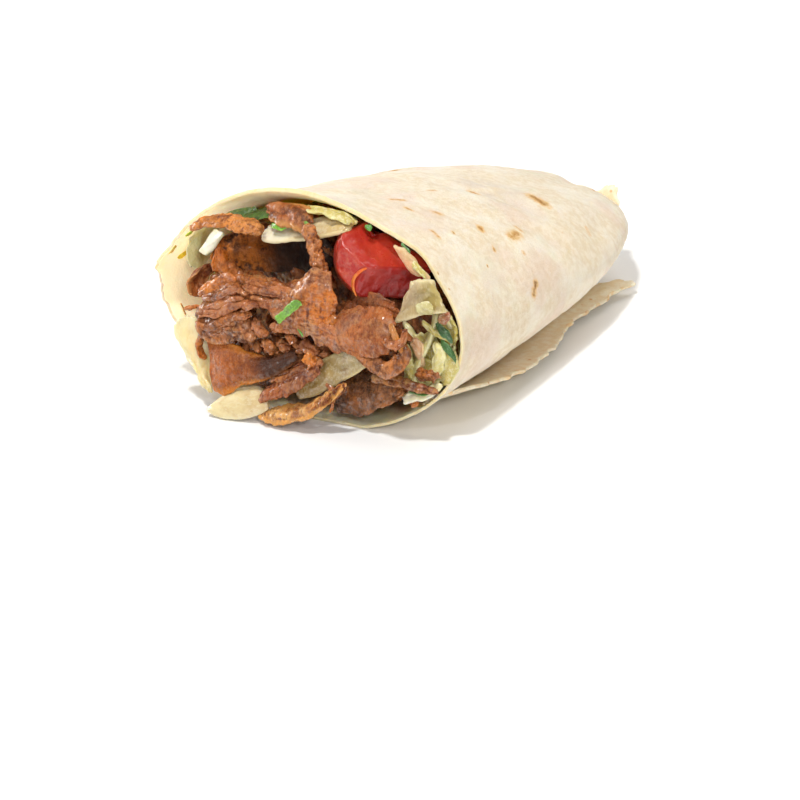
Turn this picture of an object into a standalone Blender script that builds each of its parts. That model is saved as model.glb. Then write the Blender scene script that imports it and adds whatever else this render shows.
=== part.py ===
"""Half of a doner kebab wrap: a rolled flatbread cut across, its other end closed.

Metres, +Z up. The wrap lies on the floor along X, with the cut at -X and the closed end at +X.
The near side, with the loose flap of the flatbread, is at -Y. The filling's pieces are thin
slices, curls, leaves and chunks placed in the mouth of the bag, in front of a core of meat
and a layer of cabbage that run through it.
"""

import math

import bmesh
import bpy
from mathutils import Vector, noise

MM = 0.001

# The flatbread bag, from the cut to the closed end
CUT_WIDTH = 82.0 * MM
CUT_HEIGHT = 50.7 * MM
WRAP_LENGTH = 115.7 * MM
WIDTH_POWER = 4.2  # how bluntly the closed end is rounded, from above and from the side
HEIGHT_POWER = 3.75
TOP_FALL = 0.215  # slope of the top from the cut to the closed end
END_LIFT = 1.2 * MM
BREAD_THICK = 1.5 * MM
CUT_LEAN = math.radians(7.6)  # the top of the cut leans back
WIDEST_LEVEL = 0.46  # share of the height where the section is widest
UPPER_POWER = 1.87  # roundness of the section above and below that level
LOWER_POWER = 1.99
UNDER_PRESS = 1.08  # how far the underside is pressed flat
CREASE_ANGLE = math.radians(137)  # the soft corner along the near top of the roll
CREASE_RISE = 1.4 * MM
CREASE_SPREAD = 0.16
CREASE_FADE = 34 * MM
BREAD_SIDES = 44
BREAD_RINGS = 16
LAST_RING = math.radians(84)  # the rings crowd together towards the closed end

RAGGED_CUT = 0.5 * MM

# The meat that runs through
CORE_INSET = 3.4 * MM
CORE_FRONT = 1 * MM
CORE_BACK = 7 * MM  # left free at the closed end
CORE_SHELF = 28 * MM  # above this level its front leans back, under the hollow slice
CORE_LEAN = 0.9
CORE_SIDE = 21 * MM  # beyond this its front leans back too, so the far wall's inside shows
CORE_SIDE_LEAN = 1.1
CORE_LEAN_FADE = 52 * MM
CORE_SUNK = 6 * MM  # how far its top has settled below the bread at the cut
CORE_ROUGH = 0.7 * MM
CORE_SIDES = 25
CORE_RINGS = 8

CRUMBS = 9  # along the torn edge of the stacked slices

GAP = 0.4 * MM  # a neighbour is grown by this along its normals before it cuts a piece
SMOOTH_BELOW = math.radians(40)

WHEAT = (0.82, 0.68, 0.42)
MEAT = (0.30, 0.13, 0.07)
DARK_MEAT = (0.16, 0.07, 0.035)
CRISP_MEAT = (0.42, 0.17, 0.05)
TOMATO = (0.55, 0.035, 0.02)
ONION = (0.74, 0.70, 0.48)
CABBAGE = (0.62, 0.60, 0.26)
PARSLEY = (0.07, 0.20, 0.02)


# ---------------------------------------------------------------- small helpers


def clear_scene():
    for obj in list(bpy.data.objects):
        bpy.data.objects.remove(obj)


def material(name, colour, roughness):
    made = bpy.data.materials.get(name)
    if made is None:
        made = bpy.data.materials.new(name)
        made.use_nodes = True
        shader = made.node_tree.nodes["Principled BSDF"]
        shader.inputs["Base Color"].default_value = (*colour, 1.0)
        shader.inputs["Roughness"].default_value = roughness
        shader.inputs["Metallic"].default_value = 0.0
    return made


def object_of(name, bm):
    """A linked object made from a bmesh, which is freed."""
    mesh = bpy.data.meshes.new(name)
    bm.to_mesh(mesh)
    bm.free()
    obj = bpy.data.objects.new(name, mesh)
    bpy.context.scene.collection.objects.link(obj)
    return obj


def apply_modifiers(obj):
    """Puts the evaluated mesh in the place of the object's own."""
    bpy.context.view_layer.update()
    graph = bpy.context.evaluated_depsgraph_get()
    mesh = bpy.data.meshes.new_from_object(obj.evaluated_get(graph))
    obj.modifiers.clear()
    obj.data = mesh


def blend(values, t):
    """A smooth curve through equally spaced numbers or vectors, read at t from 0 to 1."""
    last = len(values) - 1
    place = min(max(t, 0.0), 1.0) * last
    i = min(int(place), last - 1)
    f = place - i
    a = values[max(i - 1, 0)]
    b, c = values[i], values[i + 1]
    d = values[min(i + 2, last)]
    return (
        b * (1 - 3 * f * f + 2 * f**3)
        + c * (3 * f * f - 2 * f**3)
        + (c - a) * 0.5 * (f - 2 * f * f + f**3)
        + (d - b) * 0.5 * (f**3 - f * f)
    )


def line(*points):
    return [Vector(point) for point in points]


def signed_power(value, power):
    return math.copysign(abs(value) ** power, value)


def wobble(seed, *place):
    """Smooth noise from -1 to 1 at a place, different for each seed."""
    x, y, z = (tuple(place) + (0.0, 0.0, 0.0))[:3]
    return noise.noise(Vector((x + 7.3 * seed, y - 3.1 * seed, z + 1.7 * seed)))


# ---------------------------------------------------------------- cutting pieces clear


def largest_body(obj):
    """Deletes all but the largest of the separate bodies of a mesh."""
    bm = bmesh.new()
    bm.from_mesh(obj.data)
    bmesh.ops.dissolve_degenerate(bm, edges=bm.edges[:], dist=1e-6)
    bmesh.ops.triangulate(bm, faces=bm.faces[:])
    left = set(bm.verts)
    bodies = []
    while left:
        body, edge = set(), [left.pop()]
        while edge:
            vert = edge.pop()
            body.add(vert)
            for near in vert.link_edges:
                other = near.other_vert(vert)
                if other in left:
                    left.discard(other)
                    edge.append(other)
        bodies.append(body)

    def volume(body):
        faces = {face for vert in body for face in vert.link_faces}
        return sum(
            f.verts[0].co.dot(f.verts[1].co.cross(f.verts[2].co)) / 6 for f in faces
        )

    biggest = max(bodies, key=volume)
    scraps = [vert for vert in bm.verts if vert not in biggest]
    bmesh.ops.delete(bm, geom=scraps, context="VERTS")
    bm.to_mesh(obj.data)
    bm.free()


def grown(obj):
    """A hidden copy of a piece, larger all round by the gap that neighbours keep."""
    bm = bmesh.new()
    bm.from_mesh(obj.data)
    bm.normal_update()
    for vert in bm.verts:
        vert.co += vert.normal * GAP
    copy = object_of(obj.name + "_clearance", bm)
    copy.hide_render = True
    copy.display_type = "WIRE"
    return copy


def box_of(obj):
    low = [min(v.co[i] for v in obj.data.vertices) for i in range(3)]
    high = [max(v.co[i] for v in obj.data.vertices) for i in range(3)]
    return low, high


def boxes_meet(one, other):
    (low_a, high_a), (low_b, high_b) = box_of(one), box_of(other)
    return all(low_a[i] < high_b[i] and low_b[i] < high_a[i] for i in range(3))


def boolean(obj, other, operation):
    cut = obj.modifiers.new(operation.title(), "BOOLEAN")
    cut.operation = operation
    cut.solver = "EXACT"
    cut.object = other
    apply_modifiers(obj)


def cut_clear(obj, cutters):
    for cutter in cutters:
        if boxes_meet(obj, cutter):
            boolean(obj, cutter, "DIFFERENCE")
    largest_body(obj)


# ---------------------------------------------------------------- the flatbread


def bag_size(x):
    """Width and height of the roll at a distance from the cut, before its end closes."""
    x = max(x, 0.0)
    width = CUT_WIDTH * math.sqrt(1 - min(x / WRAP_LENGTH, 0.995) ** WIDTH_POWER)
    height = CUT_HEIGHT - TOP_FALL * x
    return width, height


def end_shrink(x):
    """How far the height has closed in at a distance from the cut."""
    return math.sqrt(1 - min(max(x, 0.0) / WRAP_LENGTH, 0.995) ** HEIGHT_POWER)


def bag_point(x, angle, inset=0.0):
    """A point on the roll's outer surface: angle 0 is the far side, 90 degrees the top."""
    width, height = bag_size(x)
    shrink = end_shrink(x)
    across, up = math.cos(angle), math.sin(angle)
    power = 2 / (UPPER_POWER if up > 0 else LOWER_POWER)
    crease = math.exp(-(((angle - CREASE_ANGLE) / CREASE_SPREAD) ** 2))
    crease *= CREASE_RISE * math.exp(-max(x, 0.0) / CREASE_FADE)
    level = WIDEST_LEVEL * height
    reach = width / 2 - inset + crease
    y = reach * signed_power(across, power)
    lift = END_LIFT * (max(x, 0.0) / WRAP_LENGTH) ** 4
    if up >= 0:
        rise = (height - level) * shrink - inset + crease
        return Vector((x, y, level + lift + rise * up**power))
    drop = level * UNDER_PRESS * shrink * abs(up) ** power
    return Vector((x, y, max(level - drop, 0.0) + lift + inset * abs(up)))


def loft(stations, sides, place):
    """A tube extruded ring by ring, and its end rings: place(station, angle) gives each point."""
    bm = bmesh.new()
    first = ring = bmesh.ops.create_circle(bm, segments=sides, radius=1.0)["verts"]
    angles = [math.atan2(vert.co.y, vert.co.x) % math.tau for vert in ring]
    for i, station in enumerate(stations):
        if i:
            edges = {e for vert in ring for e in vert.link_edges if e.other_vert(vert) in ring}
            made = bmesh.ops.extrude_edge_only(bm, edges=list(edges))["geom"]
            new = {item for item in made if isinstance(item, bmesh.types.BMVert)}
            ahead = [[e.other_vert(vert) for e in vert.link_edges] for vert in ring]
            ring = [next(vert for vert in near if vert in new) for near in ahead]
        for vert, angle in zip(ring, angles):
            vert.co = place(station, angle)
    return bm, first, ring


def cap(bm, ring):
    faces = bmesh.ops.contextual_create(bm, geom=ring)["faces"]
    bmesh.ops.poke(bm, faces=faces)


def face_outwards(bm, middle):
    """Turns the faces so that most point away from a place inside."""
    bmesh.ops.recalc_face_normals(bm, faces=bm.faces[:])
    if sum(face.normal.dot(face.calc_center_median() - middle) for face in bm.faces) < 0:
        bmesh.ops.reverse_faces(bm, faces=bm.faces[:])


def bag_surface():
    """The roll's outer surface, open at the cut and rounded shut at the other end."""
    stations = [WRAP_LENGTH * math.sin(LAST_RING * i / BREAD_RINGS) for i in range(BREAD_RINGS + 1)]

    def place(x, angle):
        point = bag_point(x, angle)
        if x == 0:
            ragged = RAGGED_CUT * wobble(1, 3 * math.cos(angle), 3 * math.sin(angle))
            point.x = (point.z - CUT_HEIGHT / 2) * math.tan(CUT_LEAN) + ragged
        return point

    bm, _, last = loft(stations, BREAD_SIDES, place)
    cap(bm, last)
    face_outwards(bm, Vector((WRAP_LENGTH / 2, 0, CUT_HEIGHT / 3)))
    return bm


def flap():
    """The roll's loose outer edge: a thin sheet that leaves the underside on the near side."""
    inner = line((2, -27, 5), (22, -19, 1.7), (45, -18, 1.6), (68, -19, 2.2), (88, -27, 3.2))
    outer = line((1.5, -33, 9.6), (22, -37.6, 5.6), (45, -36.4, 3), (68, -32.4, 2.6), (92.5, -36, 2.8))
    centre = [(a + b) / 2 for a, b in zip(inner, outer)]
    reach = [(b - a) / 2 for a, b in zip(inner, outer)]
    return sheet(
        "flap", centre, reach, 1.2, ragged=0.03, ripple=0.25, cells=(16, 4), seed=2, tips=(0.9, 0.7)
    )


def tuft():
    """A torn corner of the tucked end that stands up beside the closed end."""
    return sheet(
        "tuft", line((107.2, -16.4, 18.6), (106.4, -20.6, 18.2), (104.0, -24.4, 16.2)),
        line((0.6, -0.4, 0.9), (1.0, -1.1, 1.9), (0.8, -1.1, 1.0)), 1.1,
        ragged=0.3, ripple=0.2, cells=(6, 3), seed=5,
    )


def flatbread():
    """The bag with its flap and torn corner joined on, and the clearances kept to it."""
    bread = object_of("flatbread", bag_surface())
    wall = bread.modifiers.new("Wall", "SOLIDIFY")
    wall.thickness = BREAD_THICK
    wall.offset = -1
    wall.use_even_offset = True
    apply_modifiers(bread)
    clearances = [grown(bread)]
    for extra in (flap(), tuft()):
        clearances.append(grown(extra))
        boolean(bread, extra, "UNION")
        bpy.data.objects.remove(extra)
    largest_body(bread)
    return bread, clearances


# ---------------------------------------------------------------- pieces of filling


def sheet(
    name, centre, reach, thick, ragged=0.1, ripple=0.35, cup=0.0, cells=(10, 4), seed=1, tips=(0.7, 0.7)
):
    """A thin wavy solid. centre is its middle line and reach its half width, in millimetres.

    tips narrow its two ends, ragged roughens its outline, ripple waves it, and cup hollows it.
    """
    if isinstance(reach, Vector):
        reach = [reach, reach]
    bm = bmesh.new()
    bmesh.ops.create_grid(bm, x_segments=cells[0], y_segments=cells[1], size=0.5)
    for vert in bm.verts:
        u, v = vert.co.x + 0.5, 2 * vert.co.y
        middle, half = blend(centre, u), blend(reach, u)
        ahead = (blend(centre, min(u + 0.02, 1)) - blend(centre, max(u - 0.02, 0))).normalized()
        face = ahead.cross(half).normalized()
        narrow = 1 - (1 - tips[0]) * max(0, 1 - u / 0.3) ** 2
        narrow *= 1 - (1 - tips[1]) * max(0, 1 - (1 - u) / 0.3) ** 2
        outline = 1 + ragged * wobble(seed, 9 * u, 2 * v) * (0.4 + abs(v))
        vert.co = middle + half * v * narrow * outline
        vert.co += ahead * ragged * half.length * wobble(seed + 9, 5 * v, 4 * u) * abs(2 * u - 1) ** 3
        vert.co += face * (cup * (v * v - 0.4) + ripple * 2 * wobble(seed + 4, 3.2 * u, 1.6 * v))
        vert.co *= MM
    bmesh.ops.triangulate(bm, faces=bm.faces[:])
    obj = object_of(name, bm)
    wall = obj.modifiers.new("Thickness", "SOLIDIFY")
    wall.thickness = thick * MM
    wall.offset = 0
    apply_modifiers(obj)
    return obj


def lump(name, centre, size, seed=1, rough=0.18, detail=3):
    """An uneven rounded solid. centre and size (half its three sides) are in millimetres."""
    bm = bmesh.new()
    bmesh.ops.create_icosphere(bm, subdivisions=detail, radius=1.0)
    for vert in bm.verts:
        way = vert.co.normalized()
        swell = 1 + rough * (wobble(seed, *(2.1 * way)) + 0.5 * wobble(seed, *(4.5 * way)))
        vert.co = (Vector(centre) + Vector([w * s for w, s in zip(way, size)]) * swell) * MM
    return object_of(name, bm)


def tomato_chunk():
    """A wedge of tomato: a thick ball sector with two cut faces and a rounded skin side."""
    bm = bmesh.new()
    bmesh.ops.create_icosphere(bm, subdivisions=3, radius=1.0)
    middle = Vector((10.5, -18.5, 37.5))
    half = Vector((14, 12.4, 9.6))
    for vert in bm.verts:
        vert.co = Vector([m + h * c for m, h, c in zip(middle, half, vert.co)])
    cuts = (
        (Vector((-1.5, -18, 38)), Vector((-1.0, 0.15, 0.35))),
        (Vector((4, -13, 32.6)), Vector((-0.45, 0.3, -0.9))),
        (Vector((4, -9.5, 36)), Vector((-0.25, 1.0, -0.35))),
        (Vector((4, -13, 45)), Vector((-0.2, 0.5, 0.9))),
    )
    for point, way in cuts:
        geometry = bm.verts[:] + bm.edges[:] + bm.faces[:]
        cut = bmesh.ops.bisect_plane(bm, geom=geometry, plane_co=point, plane_no=way, clear_outer=True)
        edges = [item for item in cut["geom_cut"] if isinstance(item, bmesh.types.BMEdge)]
        bmesh.ops.edgeloop_fill(bm, edges=edges)
    for vert in bm.verts:
        vert.co *= MM
    bmesh.ops.recalc_face_normals(bm, faces=bm.faces[:])
    bmesh.ops.triangulate(bm, faces=bm.faces[:])
    return object_of("tomato_chunk", bm)


def crumbly_fringe():
    """The torn edge of the stacked slices, with crumbs of meat fused on, and its clearances."""
    base = sheet(
        "meat_fringe", line((0, 17, 14.5), (0, 5, 16.5), (-0.5, -9, 19)), Vector((3.4, 0, 1.2)), 2.4,
        ragged=0.15, ripple=0.4, cells=(10, 2), seed=31,
    )
    row = line((-3.6, 16.5, 14.2), (-4.2, 4, 16.4), (-3.8, -8.5, 18.6))
    clearances = [grown(base)]
    crumbs = bpy.data.collections.new("crumbs")
    bpy.context.scene.collection.children.link(crumbs)
    for i in range(CRUMBS):
        t = i / (CRUMBS - 1)
        place = blend(row, t)
        place.z += 0.9 * wobble(40, 5.0 * t)
        size = 1.6 + 0.5 * wobble(41, 6.0 * t)
        crumb = lump("crumb", place, (size * 1.5, size, size), seed=50 + i, rough=0.25, detail=1)
        bpy.context.scene.collection.objects.unlink(crumb)
        crumbs.objects.link(crumb)
        clearances.append(grown(crumb))
    join = base.modifiers.new("Join", "BOOLEAN")
    join.operation = "UNION"
    join.operand_type = "COLLECTION"
    join.collection = crumbs
    join.solver = "EXACT"
    apply_modifiers(base)
    for crumb in list(crumbs.objects):
        bpy.data.objects.remove(crumb)
    bpy.data.collections.remove(crumbs)
    return base, clearances


def meat_core():
    """The packed meat that runs through the roll behind the slices in its mouth."""
    back = WRAP_LENGTH - CORE_BACK
    stations = [CORE_FRONT + (back - CORE_FRONT) * i / CORE_RINGS for i in range(CORE_RINGS + 1)]

    def place(x, angle):
        rough = CORE_ROUGH * wobble(60, 40 * x, 2 * math.cos(angle), 2 * math.sin(angle))
        fade = max(1 - (x - CORE_FRONT) / CORE_LEAN_FADE, 0)
        point = bag_point(x, angle, CORE_INSET + rough + fade * CORE_SUNK * max(math.sin(angle), 0))
        point.x += fade * CORE_LEAN * max(point.z - CORE_SHELF, 0)
        point.x += fade * CORE_SIDE_LEAN * max(point.y - CORE_SIDE, 0)
        return point

    bm, first, last = loft(stations, CORE_SIDES, place)
    cap(bm, first)
    cap(bm, last)
    face_outwards(bm, Vector((WRAP_LENGTH / 2, 0, CUT_HEIGHT / 3)))
    return object_of("meat_core", bm)


def cabbage_and_onion():
    pale = material("cabbage", CABBAGE, 0.4)
    white = material("onion", ONION, 0.3)
    yield pale, sheet(
        "cabbage_leaf_far", line((8, 26.5, 41), (8.5, 30.5, 37.5), (9, 33.6, 32), (9, 34.6, 26)),
        line((3.4, -0.6, 0), (4.2, -1, 0), (4.4, -1.2, 0), (3.6, -0.8, 0)), 1.0,
        ragged=0.12, ripple=0.2, cells=(10, 4), seed=11, tips=(0.6, 0.6),
    )
    yield pale, sheet(
        "cabbage_leaf_low", line((-4.4, 31.5, 18.5), (-6.4, 30.4, 13), (-8, 26.4, 7.4), (-9, 22, 2.8)),
        line((-0.6, 6, -1.4), (-0.4, 4.8, -1.6), (-0.4, 2.8, -1.4), (0, 1.4, -0.6)), 1.0,
        ragged=0.15, ripple=0.3, cells=(9, 4), seed=12, tips=(0.5, 0.6),
    )
    yield white, sheet(
        "cabbage_rib", line((3, 28.5, 32), (3, 26, 35.6), (4, 23, 38.8)), Vector((4, 0.8, 0.6)), 2.6,
        ragged=0.06, ripple=0.15, cells=(5, 3), seed=13, tips=(0.8, 0.8),
    )
    yield white, sheet(
        "onion_petal_top",
        line((1.5, 10.5, 41), (1, 5, 41.8), (1, -2, 43.6), (1.5, -8, 45.2), (2.5, -13, 46.2)),
        Vector((2.6, 0.3, 1.5)), 1.9,
        ragged=0.05, ripple=0.2, cup=0.7, cells=(10, 3), seed=14, tips=(0.6, 0.8),
    )
    yield white, sheet(
        "onion_petal_front", line((-10.5, 19.5, 1.4), (-9.8, 14.5, 3.4), (-9.5, 8.5, 5.6), (-9, 4, 7)),
        line((0.4, 0.4, 0.9), (1.2, 1.0, 2.9), (1.2, 0.8, 3.0), (0.6, 0.4, 2.0)), 1.3,
        ragged=0.05, ripple=0.2, cup=-0.8, cells=(8, 4), seed=15, tips=(0.9, 0.8),
    )
    yield white, sheet(
        "onion_petal_middle", line((-6.5, -0.5, 7), (-6, -7, 12), (-6, -14, 16.4), (-6.5, -20.5, 19)),
        line((0.6, 0.8, 1.6), (0.8, 1.0, 3.0), (0.8, 1.2, 2.8), (0.4, 0.6, 1.4)), 1.6,
        ragged=0.05, ripple=0.2, cup=0.6, cells=(9, 3), seed=16, tips=(0.7, 0.6),
    )
    yield white, sheet(
        "cabbage_chunk", line((-4.5, -27.5, 27.6), (-3.5, -32, 31.6), (-2.5, -36.6, 34.4)),
        line((0.2, 1.0, 1.0), (0.4, 2.6, 3.2), (0.4, 2.2, 3.0)), 1.7,
        ragged=0.08, ripple=0.3, cup=0.5, cells=(6, 5), seed=17, tips=(0.7, 0.8),
    )
    yield white, sheet(
        "cabbage_piece_tan", line((0.5, -24, 42.4), (0, -28, 40.4), (-1, -32.4, 37.2)),
        line((0.6, -0.8, 1.2), (0.6, -1.2, 1.9), (0.6, -1.2, 1.5)), 1.4,
        ragged=0.08, ripple=0.2, cells=(5, 3), seed=18, tips=(0.8, 0.7),
    )
    yield pale, sheet(
        "cabbage_layer",
        line((4, -36.2, 24), (25, -36, 21), (50, -35, 18.5), (72, -32, 16), (86, -28, 13)),
        line((0, -0.8, 12), (0, -0.8, 10), (0, -1, 8), (0, -1, 7), (0, -1, 5)), 2.4,
        ragged=0.08, ripple=0.4, cup=-3.4, cells=(10, 5), seed=19, tips=(0.9, 0.7),
    )
    strips = (
        ((0.5, -34.6, 30), (-1, -33.2, 24), (-1.5, -30.4, 18.5), (-1.5, -28.6, 13)),
        ((1, -37.3, 24.5), (0, -35.6, 19), (-0.5, -33.8, 14), (-1, -31.6, 10.6)),
        ((2.5, -28, 32.5), (2.5, -33, 29.6), (2, -36.6, 25.4)),
        ((2.5, -24.5, 25), (2.5, -27.6, 20), (2, -27, 14)),
    )
    for i, strip in enumerate(strips):
        yield pale, sheet(
            f"cabbage_strip_{i + 1}", line(*strip), Vector((1.2, 0.9, 0.3)), 1.3,
            ragged=0.12, ripple=0.3, cells=(7, 2), seed=20 + i, tips=(0.7, 0.6),
        )
    yield white, sheet(
        "onion_bit_low", line((-3.6, -26.5, 9.4), (-3.6, -31, 11), (-3, -35.4, 13)),
        Vector((1.0, 0.3, 0.9)), 1.2, ragged=0.08, ripple=0.15, cells=(5, 2), seed=26, tips=(0.7, 0.7),
    )


def parsley():
    green = material("parsley", PARSLEY, 0.45)
    sprigs = {
        "strip": (line((-9.6, 1, 25.6), (-9.8, -2.6, 28.8), (-9.8, -6, 31.8)), (0, 0.8, 0.7)),
        "top": (line((4, 19, 42.4), (4.4, 13, 44.2), (5, 7.5, 46)), (1.6, 0, 0.9)),
        "on_onion": (line((-0.9, 6.4, 44.4), (-1, 4, 44.6), (-1, 1.8, 45.3)), (0.7, 0.1, 0.7)),
        "near": (line((-1.6, -36.4, 28), (-2.4, -37.8, 25), (-2.2, -37.6, 20.6)), (0.4, 1.2, 0.1)),
        "low": (line((-5, -29.4, 12.3), (-5, -32, 12.6), (-5, -34.4, 12.9)), (0.7, 0, 0.3)),
    }
    for i, (name, (centre, reach)) in enumerate(sprigs.items()):
        yield green, sheet(
            f"parsley_{name}", centre, Vector(reach), 0.5,
            ragged=0.2, ripple=0.15, cells=(5, 2), seed=80 + i, tips=(0.7, 0.7),
        )


def meat_slices():
    meat = material("meat", MEAT, 0.35)
    dark = material("meat_shaded", DARK_MEAT, 0.3)
    crisp = material("meat_crisp", CRISP_MEAT, 0.35)
    yield crisp, sheet(
        "meat_crisp_strip", line((-4, 25.6, 42.4), (-3, 19.5, 44.2), (-2.5, 13, 44), (-2.5, 7.6, 43.2)),
        Vector((3.6, 0, 0.3)), 2.2, ragged=0.12, ripple=0.3, cells=(10, 3), seed=30, tips=(0.8, 0.7),
    )
    yield meat, sheet(
        "meat_top_slice", line((2.5, 9.6, 46.6), (1.5, 4, 46.8), (0.5, -1, 46.6), (0, -3.8, 45.4)),
        Vector((3.0, 0.3, 1.7)), 1.5, ragged=0.12, ripple=0.3, cells=(7, 3), seed=33, tips=(0.6, 0.5),
    )
    yield crisp, sheet(
        "meat_knobbly_strip",
        line((-3.2, -2.4, 47.2), (-3.6, -4.8, 43.6), (-4, -6.6, 40.4), (-4.4, -8, 37), (-4.6, -9.8, 34.4)),
        Vector((0.4, 1.5, -0.8)), 2.2, ragged=0.25, ripple=0.3, cells=(10, 2), seed=34, tips=(0.7, 0.7),
    )
    yield meat, sheet(
        "meat_slab_middle",
        line((-7.6, 4.6, 26.6), (-7.8, -0.5, 27.8), (-7.4, -5.5, 28.4), (-6.2, -9.8, 29)),
        line((1.2, 0.6, 5.4), (1.0, 0.6, 6.2), (0.8, 0.4, 6.2), (0.6, 0.2, 4.8)), 2.2,
        ragged=0.1, ripple=0.4, cup=0.8, cells=(8, 5), seed=35, tips=(0.8, 0.8),
    )
    yield meat, sheet(
        "meat_fold_left",
        line((-4.8, 26, 18.6), (-6, 21, 20.6), (-6.4, 14.5, 20), (-6.2, 8.5, 20.6)),
        line((1.8, 0.2, 4.2), (2.2, 0.2, 4.6), (2.2, 0.4, 4.4), (1.8, 0.2, 3.4)), 3.4,
        ragged=0.12, ripple=0.6, cup=1.2, cells=(9, 5), seed=36, tips=(0.7, 0.8),
    )
    yield meat, sheet(
        "meat_band_upper",
        line((-2.6, 24.8, 27), (-3.6, 16.5, 29), (-3.4, 8, 28.8), (-2.6, -1, 30.8), (-2, -8.6, 33.4)),
        line((3.4, 0, 1.8), (3.6, 0, 2.4), (3.4, 0, 2.0), (3.0, 0, 1.6), (2.2, 0, 1.2)), 2.6,
        ragged=0.12, ripple=0.5, cells=(12, 4), seed=37, tips=(0.7, 0.7),
    )
    yield dark, sheet(
        "meat_hollow_slice",
        line((0.4, 24.8, 31.8), (4.4, 20.6, 34), (8.6, 13, 34), (9.2, 4, 34.6), (6.4, -4.4, 36)),
        line((0.4, 0.2, 4.6), (0.2, 0, 5.2), (0, 0, 5.2), (0, 0, 5.2), (0, 0, 4.6)), 1.6,
        ragged=0.08, ripple=0.4, cup=0.8, cells=(11, 4), seed=38, tips=(0.7, 0.8),
    )
    yield dark, sheet(
        "meat_curl_left", line((-1.4, 29.6, 24.6), (-0.4, 30.4, 28.4), (1.2, 27.8, 31.4)),
        line((2.2, -1.0, -0.2), (2.6, -1.2, -0.4), (2.4, -1, -0.4)), 1.4,
        ragged=0.08, ripple=0.2, cells=(6, 3), seed=39, tips=(0.8, 0.8),
    )
    yield meat, sheet(
        "meat_slice_right",
        line((-4.6, -9.4, 26.2), (-6, -15, 27.4), (-6.6, -21.5, 28.4), (-5.4, -28.6, 28.6)),
        line((1.8, 0, 3.4), (2.2, 0, 4.2), (2.2, 0, 4.4), (1.6, 0, 4.0)), 2.2,
        ragged=0.1, ripple=0.5, cup=0.8, cells=(9, 5), seed=40, tips=(0.7, 0.8),
    )
    yield meat, sheet(
        "meat_curl_right",
        line((-6.6, -12.5, 20), (-7.8, -19, 19), (-7.6, -25.4, 17.8), (-6.6, -30.2, 20.4), (-6, -31, 24)),
        line((1.6, 0, 1.6), (1.8, 0, 1.9), (1.8, 0.2, 1.9), (1.6, 1.0, 1.2), (1.4, 0.8, 0)), 2.0,
        ragged=0.14, ripple=0.4, cells=(11, 3), seed=41, tips=(0.7, 0.7),
    )
    yield crisp, sheet(
        "meat_orange_strand", line((-7.6, -27.4, 29), (-8.8, -29.8, 25.6), (-8.2, -32, 22)),
        Vector((0.2, 0.8, -0.5)), 1.0, ragged=0.1, ripple=0.15, cells=(5, 2), seed=42, tips=(0.6, 0.4),
    )
    yield meat, sheet(
        "meat_slice_low_left",
        line((-7.6, 19.6, 11.4), (-9.4, 13.6, 11.4), (-8.8, 5.5, 13), (-7.2, -3, 15)),
        line((2.4, 0.2, 5.6), (3.0, 0, 5.2), (2.2, 0, 3.2), (1.6, 0, 1.6)), 1.6,
        ragged=0.07, ripple=0.4, cup=-0.9, cells=(9, 5), seed=43, tips=(0.8, 0.7),
    )
    folds = (
        ((-9.6, 7, 6.6), (-9.2, 1.4, 9.2), (-8.6, -3.6, 12.4), (-8.2, -9, 16)),
        ((-7.4, 5.4, 10), (-7.2, 0.4, 12.6), (-6.8, -4.4, 15.2)),
    )
    for i, fold in enumerate(folds):
        yield meat, sheet(
            f"meat_fold_low_{i + 1}", line(*fold), Vector((1.0, 0.4, 1.7 - 0.4 * i)), 1.6,
            ragged=0.12, ripple=0.35, cells=(8, 3), seed=44 + i, tips=(0.7, 0.6),
        )
    yield crisp, sheet(
        "meat_curl_floor",
        line((-9.4, 8, 2.2), (-10, 1.5, 2.9), (-9.6, -5.6, 5.6), (-9, -11.2, 9), (-8.6, -15, 12.8)),
        line((1.6, 0.4, 0.6), (1.8, 0.4, 1.2), (1.8, 0.4, 1.3), (1.2, 0.4, 0.9), (0.6, 0.3, 0.4)), 1.8,
        ragged=0.12, ripple=0.35, cells=(11, 3), seed=46, tips=(0.7, 0.6),
    )
    yield dark, sheet(
        "meat_slice_low_right",
        line((-3.8, -9.5, 7), (-4.2, -15.5, 9.4), (-4.6, -22, 11.6), (-4.6, -27.6, 12.6)),
        line((0.8, 0, 3.4), (0.8, 0, 4.2), (0.8, 0, 3.0), (0.6, 0, 1.8)), 2.0,
        ragged=0.1, ripple=0.4, cells=(9, 4), seed=47, tips=(0.7, 0.8),
    )
    yield meat, sheet(
        "meat_thin_strip",
        line((-6.2, -21, 15.4), (-6.4, -26.6, 14.9), (-5.6, -31.6, 14.2), (-4.6, -36.6, 13.2)),
        line((1.3, 0, 1.1), (1.2, 0, 0.9), (0.9, 0, 0.6), (0.5, 0, 0.3)), 1.5,
        ragged=0.12, ripple=0.25, cells=(9, 2), seed=48, tips=(0.8, 0.6),
    )


# ---------------------------------------------------------------- the whole half wrap


def filling():
    """(material, object) for each piece, the foremost first: each is cut clear of those before it."""
    pieces = list(parsley())
    slices = {obj.name: (finish, obj) for finish, obj in meat_slices()}
    greens = {obj.name: (finish, obj) for finish, obj in cabbage_and_onion()}
    pieces.append(slices.pop("meat_knobbly_strip"))
    pieces.append(slices.pop("meat_orange_strand"))
    pieces.append(greens.pop("onion_petal_top"))
    pieces.append(greens.pop("cabbage_chunk"))
    pieces.append((material("tomato", TOMATO, 0.2), tomato_chunk()))
    pieces += slices.values()
    pieces += greens.values()
    pieces.append((material("meat", MEAT, 0.35), meat_core()))
    return pieces


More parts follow.
